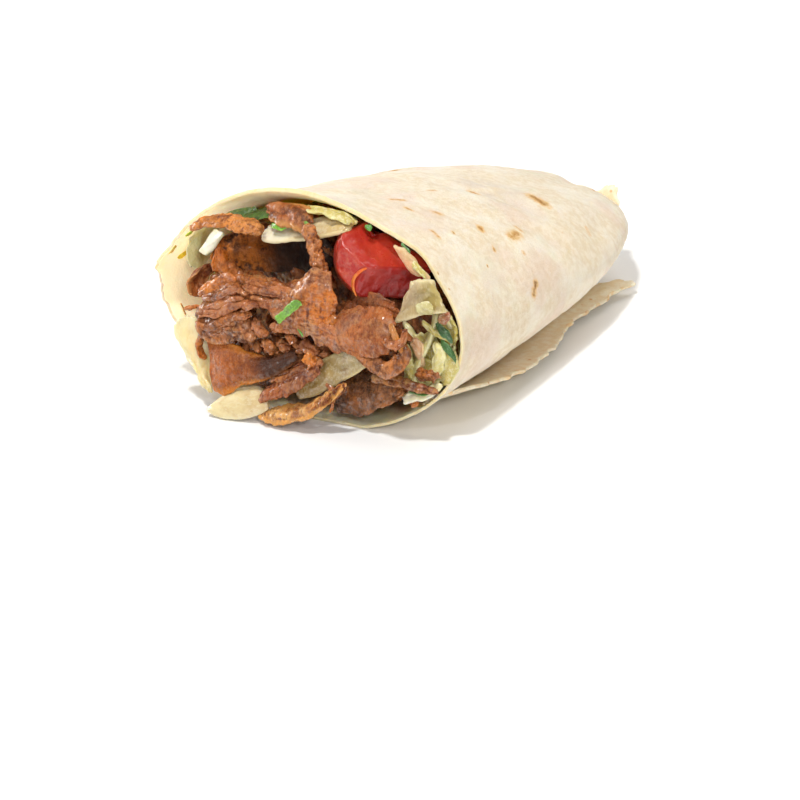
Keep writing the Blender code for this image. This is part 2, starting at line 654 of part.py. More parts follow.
def stand_on_origin(objects):
    """Moves the origin to the middle of the bottom of the whole part's box."""
    boxes = [box_of(obj) for obj in objects]
    low = Vector([min(box[0][i] for box in boxes) for i in range(3)])
    high = Vector([max(box[1][i] for box in boxes) for i in range(3)])
    shift = -Vector(((low.x + high.x) / 2, (low.y + high.y) / 2, low.z))
    for obj in objects:
        for vert in obj.data.vertices:
            vert.co += shift


def main():
    clear_scene()
    bread, cutters = flatbread()
    bread.data.materials.append(material("flatbread", WHEAT, 0.6))
    parts = [bread]
    fringe, clearances = crumbly_fringe()
    cut_clear(fringe, cutters)
    cutters += clearances
    fringe.data.materials.append(material("meat", MEAT, 0.35))
    parts.append(fringe)
    for finish, piece in filling():
        clearance = grown(piece)
        cut_clear(piece, cutters)
        cutters.append(clearance)
        piece.data.materials.clear()
        piece.data.materials.append(finish)
        parts.append(piece)
    for cutter in cutters:
        bpy.data.objects.remove(cutter)
    stand_on_origin(parts)
    for part in parts:
        part.data.shade_smooth()
        part.data.set_sharp_from_angle(angle=SMOOTH_BELOW)


main()
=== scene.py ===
import math
import random

import bmesh
import bpy
from mathutils import Matrix, Vector, noise


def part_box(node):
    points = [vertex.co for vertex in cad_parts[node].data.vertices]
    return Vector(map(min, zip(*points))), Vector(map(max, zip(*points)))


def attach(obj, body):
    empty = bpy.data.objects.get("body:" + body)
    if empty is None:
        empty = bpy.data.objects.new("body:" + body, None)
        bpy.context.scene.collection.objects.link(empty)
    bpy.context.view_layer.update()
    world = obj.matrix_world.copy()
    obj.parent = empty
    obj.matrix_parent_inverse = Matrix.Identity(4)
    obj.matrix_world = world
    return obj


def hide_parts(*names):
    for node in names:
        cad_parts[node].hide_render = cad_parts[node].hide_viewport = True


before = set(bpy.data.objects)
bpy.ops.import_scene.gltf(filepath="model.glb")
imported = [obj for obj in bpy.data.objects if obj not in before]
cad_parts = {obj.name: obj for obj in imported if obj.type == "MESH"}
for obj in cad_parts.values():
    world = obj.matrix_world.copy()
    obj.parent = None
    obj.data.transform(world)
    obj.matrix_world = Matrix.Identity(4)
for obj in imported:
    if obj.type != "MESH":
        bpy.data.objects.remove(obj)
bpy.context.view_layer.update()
mm = 0.001

# places and camera

bag = {
    "cutWidth": 82.0, "cutHeight": 50.7, "length": 115.7,
    "widthPower": 4.2, "heightPower": 3.75,  # how bluntly the closed end is rounded
    "topFall": 0.215, "endLift": 1.2, "wall": 1.4,
    "cutLean": math.radians(7.6), "widestLevel": 0.46,
    "upperPower": 1.87, "lowerPower": 1.99, "underPress": 1.08,
    "creaseAngle": math.radians(137), "creaseRise": 1.4, "creaseSpread": 0.16, "creaseFade": 34.0,
    "rimReach": 3.474,  # how far the foot of the cut stands out in front of its middle
    "sides": 200, "rings": 96, "lastRing": math.radians(88.6), "tipClamp": 0.9998,
    "fillingGap": 1.7, "gapLessAtCut": 0.5, "gapReach": 7.0, "cutBlend": (-0.4, 0.8), "floorGap": 0.5,
}

# every place below is in millimetres from the middle of the cut, at floor level
cutFoot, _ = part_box("flatbread")
cutMiddle = Vector((cutFoot[0] + bag["rimReach"] * mm, cutFoot[1] + bag["cutWidth"] / 2 * mm, 0))


def placed(point):
    return cutMiddle + Vector(point) * mm


def addObject(name, data):
    made = bpy.data.objects.new(name, data)
    bpy.context.scene.collection.objects.link(made)
    return made


def buildCamera():
    view = {
        "azimuth": -56.7, "elevation": 24.0, "roll": -4.0, "lens": 129.15, "sensor": 36.0,
        "distance": 636.3, "aim": (0, 0, 25.37), "aimPixel": (304.12, 307.63), "frame": 800,
    }
    turn, tilt, roll = (math.radians(view[key]) for key in ("azimuth", "elevation", "roll"))
    back = Vector((math.sin(turn) * math.cos(tilt), -math.cos(turn) * math.cos(tilt), math.sin(tilt)))
    level = Vector((math.cos(turn), math.sin(turn), 0))
    upright = back.cross(level)
    right = level * math.cos(roll) + upright * math.sin(roll)
    up = upright * math.cos(roll) - level * math.sin(roll)
    pixels = view["lens"] / view["sensor"] * view["frame"]
    acrossFrame, downFrame = ((pixel - view["frame"] / 2) / pixels for pixel in view["aimPixel"])
    place = placed(view["aim"]) + (back - right * acrossFrame + up * downFrame) * view["distance"] * mm
    camera = addObject("camera", bpy.data.cameras.new("camera"))
    camera.data.lens = view["lens"]
    camera.data.sensor_width = view["sensor"]
    camera.data.clip_start = 0.01
    camera.matrix_world = Matrix.Translation(place) @ Matrix((right, up, back)).transposed().to_4x4()
    bpy.context.scene.camera = camera
    return right, up, back


cameraRight, cameraUp, cameraBack = buildCamera()
print("camera placed")

# shader building


class Wire:  # a number that varies over a surface; arithmetic on it adds Math nodes
    def __init__(self, paint, socket):
        self.paint, self.socket = paint, socket

    def math(self, operation, first, second):
        return self.paint.node("ShaderNodeMath", {"operation": operation}, {0: first, 1: second})

    def __add__(self, other):
        return self.math("ADD", self, other)

    def __sub__(self, other):
        return self.math("SUBTRACT", self, other)

    def __rsub__(self, other):
        return self.math("SUBTRACT", other, self)

    def __mul__(self, other):
        return self.math("MULTIPLY", self, other)

    def __truediv__(self, other):
        return self.math("DIVIDE", self, other)

    def least(self, other):
        return self.math("MINIMUM", self, other)

    def most(self, other):
        return self.math("MAXIMUM", self, other)

    def ramp(self, low, high):  # smooth 0 to 1 between two values, falling where low is above high
        return self.paint.node(
            "ShaderNodeMapRange", {"interpolation_type": "SMOOTHSTEP"},
            {"Value": self, "From Min": low, "From Max": high},
        )


class Paint:  # one Principled material
    def __init__(self, name, **constants):
        self.material = bpy.data.materials.new(name)
        self.material.use_nodes = True
        self.tree = self.material.node_tree
        self.shader = self.tree.nodes["Principled BSDF"]
        for key, value in constants.items():
            self.set(key.replace("_", " "), value)
        coordinates = self.tree.nodes.new("ShaderNodeTexCoord")
        self.place = Wire(self, coordinates.outputs["Object"])

    def plug(self, socket, value):
        if isinstance(value, Wire):
            self.tree.links.new(value.socket, socket)
        elif isinstance(value, (tuple, list, Vector)) and socket.type == "RGBA":
            socket.default_value = (*value, 1.0)
        else:
            socket.default_value = value

    def node(self, kind, settings, inputs, output=0):
        made = self.tree.nodes.new(kind)
        for key, value in settings.items():
            setattr(made, key, value)
        for key, value in inputs.items():
            self.plug(made.inputs[key], value)
        return Wire(self, made.outputs[output])

    def mix(self, share, first, second):
        return self.node("ShaderNodeMix", {"data_type": "RGBA"}, {0: share, 6: first, 7: second}, 2)

    def noise(self, size, detail=3.0, rough=0.55, stretch=(1, 1, 1), shift=0.0):
        # size is the width of one blob in millimetres, stretch lengthens it along x, y or z
        scaled = [1 / (size * mm * s) for s in stretch]
        moved = (shift, -shift, 2 * shift)
        mapped = self.node("ShaderNodeMapping", {}, {0: self.place, 1: moved, 3: scaled})
        inputs = {"Vector": mapped, "Scale": 1.0, "Detail": detail, "Roughness": rough}
        return self.node("ShaderNodeTexNoise", {}, inputs)

    def cells(self, size, shift=0.0):
        scaled = [1 / (size * mm)] * 3
        mapped = self.node("ShaderNodeMapping", {}, {0: self.place, 1: (shift, shift, shift), 3: scaled})
        return self.node("ShaderNodeTexVoronoi", {}, {"Vector": mapped, "Scale": 1.0})

    def attribute(self, name):
        return self.node("ShaderNodeAttribute", {"attribute_name": name}, {}, 2)

    def axis(self, index):  # distance along one axis from the middle of the cut, in millimetres
        return (self.node("ShaderNodeSeparateXYZ", {}, {0: self.place}, index) - cutMiddle[index]) / mm

    def vectorMath(self, operation, inputs, output=1):  # output 1 is a number, 0 a vector
        return self.node("ShaderNodeVectorMath", {"operation": operation}, inputs, output)

    def near(self, point, radius):  # 1 at a place, fading to 0 at a radius in millimetres
        return self.vectorMath("DISTANCE", {0: self.place, 1: placed(point)}).ramp(radius * mm, 0.0)

    def nearLine(self, start, end):  # distance to a short straight line, in millimetres
        start, way = placed(start), (end - start) * mm
        off = self.vectorMath("SUBTRACT", {0: self.place, 1: start}, 0)
        share = self.vectorMath("DOT_PRODUCT", {0: off, 1: way})
        share = (share / max(way.length_squared, 1e-9)).most(0.0).least(1.0)
        foot = self.vectorMath("SCALE", {0: way, "Scale": share}, 0)
        return self.vectorMath("DISTANCE", {0: off, 1: foot}) / mm

    def bumps(self, *layers):  # (height, depth in millimetres) pairs, one Bump node each
        normal = None
        for height, depth in layers:
            inputs = {"Height": height, "Distance": depth * mm}
            if normal:
                inputs["Normal"] = normal
            normal = self.node("ShaderNodeBump", {}, inputs)
        self.set("Normal", normal)

    def tint(self, share, tone):  # lays a tone over the colour so far
        self.colour = self.mix(share, self.colour, tone)

    def set(self, name, value):
        self.plug(self.shader.inputs[name], value)

    def finish(self, roughness):
        self.set("Base Color", self.colour)
        self.set("Roughness", roughness)
        return self.material


# shape building


def signedPower(value, power):
    return math.copysign(abs(value) ** power, value)


def wobble(seed, x, y=0.0, z=0.0):  # smooth noise from -1 to 1, different for each seed
    return noise.noise(Vector((x + 7.3 * seed, y - 3.1 * seed, z + 1.7 * seed)))


def fine(seed, point, size, octaves=3):
    shifted = point / size + Vector((3.7 * seed, -5.3 * seed, 2.9 * seed))
    return noise.fractal(shifted, 0.9, 2.1, octaves)


def smooth(value, low, high):
    t = min(max((value - low) / (high - low), 0.0), 1.0)
    return t * t * (3 - 2 * t)


def blend(values, t):  # a smooth curve through equally spaced values, read at t from 0 to 1
    last = len(values) - 1
    place = min(max(t, 0.0), 1.0) * last
    i = min(int(place), last - 1)
    f = place - i
    before, start = values[max(i - 1, 0)], values[i]
    end, after = values[i + 1], values[min(i + 2, last)]
    return (
        start * (1 - 3 * f * f + 2 * f**3)
        + end * (3 * f * f - 2 * f**3)
        + (end - before) * 0.5 * (f - 2 * f * f + f**3)
        + (after - start) * 0.5 * (f**3 - f * f)
    )


def line(points):
    return [Vector(point) for point in points]


def meshObject(name, bm):
    mesh = bpy.data.meshes.new(name)
    bm.to_mesh(mesh)
    bm.free()
    return addObject(name, mesh)


def applyModifiers(piece):
    bpy.context.view_layer.update()
    graph = bpy.context.evaluated_depsgraph_get()
    mesh = bpy.data.meshes.new_from_object(piece.evaluated_get(graph))
    piece.modifiers.clear()
    piece.data = mesh


def evenOut(piece, voxel):
    even = piece.modifiers.new("even", "REMESH")
    even.mode = "VOXEL"
    even.voxel_size = voxel * mm


def moveVertices(piece, places):
    for vert, place in zip(piece.data.vertices, places):
        vert.co = place


def dress(piece, slotName, nodes, *materials):
    piece.data.materials.clear()
    for finish in materials:
        piece.data.materials.append(finish)
    piece.data.shade_smooth()
    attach(piece, "root")
    if nodes:
        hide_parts(*nodes)


def bagSize(x):
    x = max(x, 0.0)
    width = bag["cutWidth"] * math.sqrt(1 - min(x / bag["length"], bag["tipClamp"]) ** bag["widthPower"])
    return width, bag["cutHeight"] - bag["topFall"] * x


def cutBack(z):  # how far the leaning cut stands back at a height
    return (z - bag["cutHeight"] / 2) * math.tan(bag["cutLean"])


def tipLift(x):  # how far the closed end stands off the floor
    return bag["endLift"] * (max(x, 0.0) / bag["length"]) ** 4


def bagShrink(x):  # how far the height has closed in
    return math.sqrt(1 - min(max(x, 0.0) / bag["length"], bag["tipClamp"]) ** bag["heightPower"])


def bagPoint(x, angle, inset=0.0):  # angle 0 is the far side, 90 degrees the top
    width, height = bagSize(x)
    shrink = bagShrink(x)
    across, up = math.cos(angle), math.sin(angle)
    power = 2 / (bag["upperPower"] if up > 0 else bag["lowerPower"])
    crease = math.exp(-(((angle - bag["creaseAngle"]) / bag["creaseSpread"]) ** 2))
    crease *= bag["creaseRise"] * math.exp(-max(x, 0.0) / bag["creaseFade"])
    level = bag["widestLevel"] * height
    y = (width / 2 - inset + crease) * signedPower(across, power)
    lift = tipLift(x)
    if up >= 0:
        return Vector((x, y, level + lift + ((height - level) * shrink - inset + crease) * up**power))
    drop = level * bag["underPress"] * shrink * abs(up) ** power
    return Vector((x, y, max(level - drop, 0.0) + lift + inset * abs(up)))


def keptInside(point):  # the filling can't push through the bread
    inset = bag["fillingGap"] - bag["gapLessAtCut"] * smooth(point.x, bag["gapReach"], 0)
    behindCut = smooth(point.x - cutBack(point.z), *bag["cutBlend"])
    if behindCut <= 0:
        return point
    width, height = bagSize(point.x)
    level = bag["widestLevel"] * height
    middle = level + tipLift(point.x)
    above = point.z > middle
    power = bag["upperPower"] if above else bag["lowerPower"]
    rise = ((height - level) if above else level * bag["underPress"]) * bagShrink(point.x)
    sideways, upwards = abs(point.y) / (width / 2 - inset), abs(point.z - middle) / (rise - inset)
    share = sideways**power + upwards**power
    if share > 1:
        pull = 1 + (share ** (-1 / power) - 1) * behindCut
        point = Vector((point.x, point.y * pull, middle + (point.z - middle) * pull))
    floor = bag["wall"] + bag["floorGap"]
    return Vector((point.x, point.y, max(point.z, floor * behindCut)))


def terraced(value, steps):  # a smooth value broken into steps with steep sides
    value = value * steps
    step = math.floor(value)
    return (step + smooth(value - step, 0.30, 0.62)) / steps


thinPiece = {  # what all the thin pieces share
    "largeBite": (1.2, 3.8), "smallBite": (0.45, 1.0),  # depth and width of the bites out of an edge
    "narrowEnd": 0.3, "cornerDepth": 0.45,  # shares of the length that narrows and the width that rounds
    "thicken": 1.15, "terraces": 2.6, "grain": (0.3, 0.6),  # the grain's share and size
}


def bite(seed, point):  # how far an edge is torn back
    (large, largeSize), (small, smallSize) = thinPiece["largeBite"], thinPiece["smallBite"]
    return large * fine(seed, point, largeSize, 2) + small * fine(seed + 2, point, smallSize)


def slab(name, centre, reach, thick, seed, ragged=0.1, ripple=0.35, cup=0.0, tips=(0.7, 0.7), cell=0.5,
         edge=0.35, relief=0.16, reliefSize=2.2, layers=0.0, layerSize=(7.0, 2.2), ridges=0.0,
         ridgeSize=(5.0, 1.1), nibble=0.4, square=False, inBag=True):
    # a thin wavy solid along a curved middle line, in millimetres: reach is its half width at equal steps,
    # ragged and nibble how uneven and how torn its outline is, ripple and cup how it waves and curls
    # across, edge how thin its rim is, relief, layers and ridges the lumps, steps and fibres on its surface
    centre, reach = line(centre), line(reach)
    if len(reach) == 1:
        reach = reach * 2
    halfWidth = sum(step.length for step in reach) / len(reach)
    length = sum((b - a).length for a, b in zip(centre, centre[1:]))
    bm = bmesh.new()
    columns, rows = max(6, round(length / cell)), max(4, round(2 * halfWidth / cell))
    bmesh.ops.create_grid(bm, x_segments=columns, y_segments=rows, size=0.5)
    alongLayer = bm.verts.layers.float.new("along")
    acrossLayer = bm.verts.layers.float.new("across")
    weights = bm.verts.layers.deform.verify()
    for vert in bm.verts:
        vert[alongLayer], vert[acrossLayer] = vert.co.x + 0.5, 2 * vert.co.y
        u, v = vert[alongLayer], vert[acrossLayer]
        toEnd = abs(2 * u - 1)
        middle, half = blend(centre, u), blend(reach, u)
        ahead = (blend(centre, min(u + 0.02, 1)) - blend(centre, max(u - 0.02, 0))).normalized()
        face = ahead.cross(half).normalized()
        narrow = 1 - (1 - tips[0]) * max(0, 1 - u / thinPiece["narrowEnd"]) ** 2
        narrow *= 1 - (1 - tips[1]) * max(0, 1 - (1 - u) / thinPiece["narrowEnd"]) ** 2
        outline = 1 + ragged * wobble(seed, 9 * u, 2 * v) * (0.4 + abs(v))
        alongSide, alongEnd = Vector((u * length, 3 * v, 0)), Vector((0, v * halfWidth, 5 * u))
        torn = nibble * bite(seed + 30, alongSide) * smooth(abs(v), 0.3, 1.0)
        endTorn = nibble * bite(seed + 31, alongEnd) * smooth(toEnd, 0.6, 1)
        # rounded corners: the ends draw back where the sides are
        drawnBack = smooth(toEnd, 1 - 1.2 * halfWidth / length, 1)
        corner = smooth(abs(v), 0.45, 1.0) * drawnBack * (not square)
        co = middle + half * v * narrow * outline + half.normalized() * torn * math.copysign(1, v)
        co -= ahead * corner * thinPiece["cornerDepth"] * halfWidth * math.copysign(1, u - 0.5)
        co += ahead * ragged * half.length * wobble(seed + 9, 5 * v, 4 * u) * toEnd**3
        co += ahead * endTorn
        co += face * (cup * (v * v - 0.4) + ripple * 2 * wobble(seed + 4, 3.2 * u, 1.6 * v))
        vert.co = placed(co)
        # the wall is thickest in the middle and thins out towards its sides and ends
        endSpan = max(0.08, min(0.35, halfWidth / length))
        vert[weights][0] = (1 - smooth(abs(v), 0.35, 1.0)) * (1 - smooth(toEnd, 1 - endSpan * 2, 1))
    piece = meshObject(name, bm)
    piece.vertex_groups.new(name="body")
    wall = piece.modifiers.new("wall", "SOLIDIFY")
    wall.thickness = thick * thinPiece["thicken"] * mm
    wall.offset = 0
    wall.vertex_group = "body"
    wall.thickness_vertex_group = edge
    rounded = piece.modifiers.new("rounded", "SUBSURF")
    rounded.levels = rounded.render_levels = 1
    applyModifiers(piece)
    mesh = piece.data
    along = [item.value for item in mesh.attributes["along"].data]
    across = [item.value for item in mesh.attributes["across"].data]
    grainShare, grainSize = thinPiece["grain"]
    lifts, moved = [], []
    for vert, u, v in zip(mesh.vertices, along, across):
        point = vert.co / mm
        lift = relief * fine(seed + 40, point, reliefSize)
        lift += grainShare * relief * fine(seed + 41, point, grainSize, 2)
        if layers:
            bed = Vector((u * length / layerSize[0], v * halfWidth / layerSize[1], 0.4 * seed))
            bed += Vector((0, 0.25 * noise.noise(point / 2.0), 0))
            bedded = noise.noise(bed) + 0.5 * noise.noise(bed * 2.3)
            lift += layers * (terraced(bedded, thinPiece["terraces"]) - 0.1)
        if ridges:
            fibre = Vector((u * length / ridgeSize[0], v * halfWidth / ridgeSize[1], 0.3 * seed))
            lift += ridges * (0.4 - 2 * abs(noise.noise(fibre)))
        lifts.append(lift)
        co = (vert.co + vert.normal * lift * mm - cutMiddle) / mm
        moved.append(placed(keptInside(co) if inBag else co))
    mesh.attributes.new("lift", "FLOAT", "POINT").data.foreach_set("value", lifts)
    moveVertices(piece, moved)
    return piece


print("tools ready")

# the flatbread


relief = {
    "swell": 0.42, "swellSize": 15.0, "dimple": 0.13, "dimpleSize": 3.0,
    "folds": [  # soft folds pressed into the upper side: distance and angle at both ends, depth, half width
        (48, 103, 60, 138, 0.9, 3.4), (35, 124, 53, 152, 0.6, 3.0), (62, 108, 84, 118, 0.7, 3.6),
        (14, 96, 38, 100, 0.5, 3.4), (84, 150, 60, 168, 0.6, 3.4), (18, 168, 46, 178, 0.5, 3.4),
        (92, 60, 112, 92, 0.9, 2.6), (90, 118, 113, 128, 0.9, 2.4), (60, 40, 96, 28, 0.7, 3.4),
        (20, 62, 58, 52, 0.6, 4.0), (98, 20, 113, 60, 0.8, 2.4),
    ],
    # how far the torn rim stands back at each angle, and how rough its teeth are
    "tornAngles": [-88, -60, -35, -22, -15, -10, -5, 0, 5, 10, 14, 18, 24, 31, 40],
    "tornBack": [0, 2.4, 4.4, 4.4, 3.8, 2.5, 2.0, 1.6, 1.4, 0.3, -1.9, -1.8, 0, 0.7, 0],
    "teeth": 0.7, "rimWave": 0.5, "rimFray": 0.16, "rimFade": 5.0, "highest": 0.35,
    "thinnest": 0.15, "thinRim": 0.41, "thinReach": 7.0, "thinTip": 5.0, "softRim": 0.35,
    # the top of the rim turns outwards
    "flare": 1.5, "flareMiddle": 74, "flareSpread": 30, "flareReach": 5.5,
}


def tornRim(angle):
    degrees = (math.degrees(angle) + 180) % 360 - 180
    angles, back = relief["tornAngles"], relief["tornBack"]
    if not angles[0] < degrees < angles[-1]:
        return 0.0
    i = max(j for j, start in enumerate(angles) if start <= degrees)
    share = (degrees - angles[i]) / (angles[i + 1] - angles[i])
    inside = smooth(degrees, -60, -30) * smooth(degrees, 38, 22)
    teeth = fine(3, Vector((41 * math.cos(angle), 41 * math.sin(angle), 0)), 3.4, 4)
    return back[i] + (back[i + 1] - back[i]) * share + relief["teeth"] * teeth * inside


def bagLine(startX, startAngle, endX, endAngle):  # both ends of a line on the bread, angles in degrees
    return bagPoint(startX, math.radians(startAngle)), bagPoint(endX, math.radians(endAngle))


def pressed(point, fold):  # how deep a fold presses in at a place
    *ends, depth, halfWidth = fold
    start, end = bagLine(*ends)
    way = end - start
    t = min(max((point - start).dot(way) / way.length_squared, 0.0), 1.0)
    away = (point - start - way * t).length + 0.8 * wobble(88, 0.12 * point.x, 0.12 * point.y)
    shallowEnds = 0.5 + 0.5 * math.sin(math.pi * (0.12 + 0.76 * t))
    return -depth * math.exp(-((away / halfWidth) ** 2)) * shallowEnds


def buildBread():
    rings = bag["rings"]
    stations = [bag["length"] * math.sin(bag["lastRing"] * (i / rings)) for i in range(rings + 1)]
    bm = bmesh.new()
    ring = bmesh.ops.create_circle(bm, segments=bag["sides"], radius=1.0)["verts"]
    angles = [math.atan2(vert.co.y, vert.co.x) % math.tau for vert in ring]
    for i, x in enumerate(stations):
        if i:
            # a dictionary keeps its order, so the mesh comes out the same each run
            edges = dict.fromkeys(e for vert in ring for e in vert.link_edges if e.other_vert(vert) in ring)
            made = bmesh.ops.extrude_edge_only(bm, edges=list(edges))["geom"]
            new = {item for item in made if isinstance(item, bmesh.types.BMVert)}
            ahead = [[e.other_vert(vert) for e in vert.link_edges] for vert in ring]
            ring = [next(vert for vert in near if vert in new) for near in ahead]
        for vert, angle in zip(ring, angles):
            offMiddle = (math.degrees(angle) - relief["flareMiddle"]) / relief["flareSpread"]
            flare = relief["flare"] * math.exp(-(offMiddle**2) - (x / relief["flareReach"]) ** 1.5)
            point = bagPoint(x, angle, -flare)
            edge = math.exp(-x / relief["rimFade"])
            leant = cutBack(point.z)
            leant += relief["rimWave"] * wobble(1, 3 * math.cos(angle), 3 * math.sin(angle))
            rimPlace = Vector((26 * math.cos(angle), 26 * math.sin(angle), 0))
            leant += relief["rimFray"] * fine(2, rimPlace, 1.6)
            leant += tornRim(angle)
            point.x += leant * edge
            vert.co = point
    bmesh.ops.poke(bm, faces=bmesh.ops.contextual_create(bm, geom=ring)["faces"])
    bmesh.ops.recalc_face_normals(bm, faces=bm.faces[:])
    bm.normal_update()
    middle = Vector((bag["length"] / 2, 0, bag["cutHeight"] / 3))
    if sum(f.normal.dot(f.calc_center_median() - middle) for f in bm.faces) < 0:
        bmesh.ops.reverse_faces(bm, faces=bm.faces[:])
        bm.normal_update()
    lifts = []
    for vert in bm.verts:
        point = vert.co.copy()
        free = smooth(point.z, 0.4, 4.0)
        swell = noise.fractal(point / relief["swellSize"], 1.0, 2.0, 2)
        lift = relief["swell"] * swell * smooth(point.x, 0, 14)
        lift += relief["dimple"] * noise.fractal(point / relief["dimpleSize"], 0.8, 2.0, 3)
        lift += sum(pressed(point, fold) for fold in relief["folds"])
        lifts.append(vert.normal * min(lift, relief["highest"]) * free)
    reach = [vert.co.x for vert in bm.verts]
    for vert, lift in zip(bm.verts, lifts):
        vert.co = placed(vert.co + lift)
    piece = meshObject("flatbreadRoll", bm)
    whole = piece.vertex_groups.new(name="whole")  # the wall thins out towards its rim and its tip
    for vert, x in zip(piece.data.vertices, reach):
        share = relief["thinRim"] + (1 - relief["thinRim"]) * smooth(x, 0.0, relief["thinReach"])
        share *= min(1.0, (max(bag["length"] - x, 0) / relief["thinTip"]) ** 0.5)
        whole.add([vert.index], share, "REPLACE")
    wall = piece.modifiers.new("wall", "SOLIDIFY")
    wall.thickness = bag["wall"] * mm
    wall.vertex_group = "whole"
    wall.thickness_vertex_group = relief["thinnest"]
    wall.offset = -1
    wall.material_offset = 1
    wall.material_offset_rim = 2
    soften = piece.modifiers.new("softRim", "BEVEL")
    soften.width = relief["softRim"] * mm
    soften.segments = 3
    soften.limit_method = "ANGLE"
    soften.angle_limit = math.radians(60)
    return piece


toast = {  # baked specks: distance and angle at both ends, half width, strength, darkness
    "specks": [
        (21.9, 106.6, 24.7, 109.0, 0.20, 0.8, 0.3), (51.1, 111.8, 50.9, 113.8, 0.42, 1.0, 0.55),
        (37.6, 106.4, 39.5, 107.4, 0.20, 0.5, 0.2), (65.5, 125.4, 65.2, 130.8, 0.62, 1.0, 0.6),
        (20.2, 113.8, 20.3, 115.6, 0.25, 0.9, 0.3), (26.0, 119.8, 26.8, 121.0, 0.34, 0.6, 0.2),
        (31.5, 132.8, 30.5, 135.0, 0.30, 1.0, 0.45), (43.9, 138.2, 43.6, 140.4, 0.26, 0.7, 0.3),
        (37.6, 142.2, 40.5, 141.8, 0.50, 0.9, 0.4), (14.8, 129.0, 13.8, 132.6, 0.22, 0.8, 0.25),
        (21.0, 131.8, 20.6, 132.6, 0.16, 0.9, 0.5), (28.1, 144.4, 27.6, 145.4, 0.20, 0.9, 0.45),
        (36.6, 150.6, 36.4, 151.2, 0.18, 0.6, 0.3), (70.4, 152.0, 69.4, 155.8, 0.28, 0.8, 0.3),
        (34.4, 167.2, 32.2, 172.4, 0.34, 1.0, 1.0), (2.4, 146.0, 2.3, 146.4, 0.11, 1.0, 1.4),
        (21.1, 150.4, 21.0, 150.6, 0.11, 1.0, 1.4), (2.6, 153.4, 2.6, 153.6, 0.10, 1.0, 1.4),
        (104, 134.6, 101.1, 134.6, 0.30, 0.7, 0.3), (60, 70, 62, 68, 0.4, 0.9, 0.4),
        (84, 58, 82, 61, 0.5, 0.9, 0.5),
        (33, 48, 35, 49, 0.3, 0.8, 0.4), (96, 82, 97, 88, 0.4, 0.8, 0.4), (48, 22, 50, 24, 0.4, 0.9, 0.5),
        (18, 30, 20, 31, 0.3, 0.8, 0.3), (74, 8, 77, 10, 0.5, 0.9, 0.5), (100, 30, 101, 36, 0.4, 0.8, 0.5),
    ],
    "pale": (0.88, 0.765, 0.595), "cream": (0.79, 0.65, 0.45), "floury": (0.92, 0.845, 0.71),
    "pink": (0.80, 0.60, 0.49), "mauve": (0.60, 0.49, 0.44), "green": (0.66, 0.69, 0.46),
    "gold": (0.80, 0.48, 0.15), "toasted": (0.64, 0.29, 0.05), "burnt": (0.16, 0.055, 0.02),
    "oily": (0.97, 0.88, 0.60), "soaked": (0.62, 0.38, 0.15), "rim": (0.88, 0.71, 0.40),
    "rimGold": (0.84, 0.60, 0.26), "lightThrough": (0.95, 0.80, 0.54), "glow": 0.50,
}


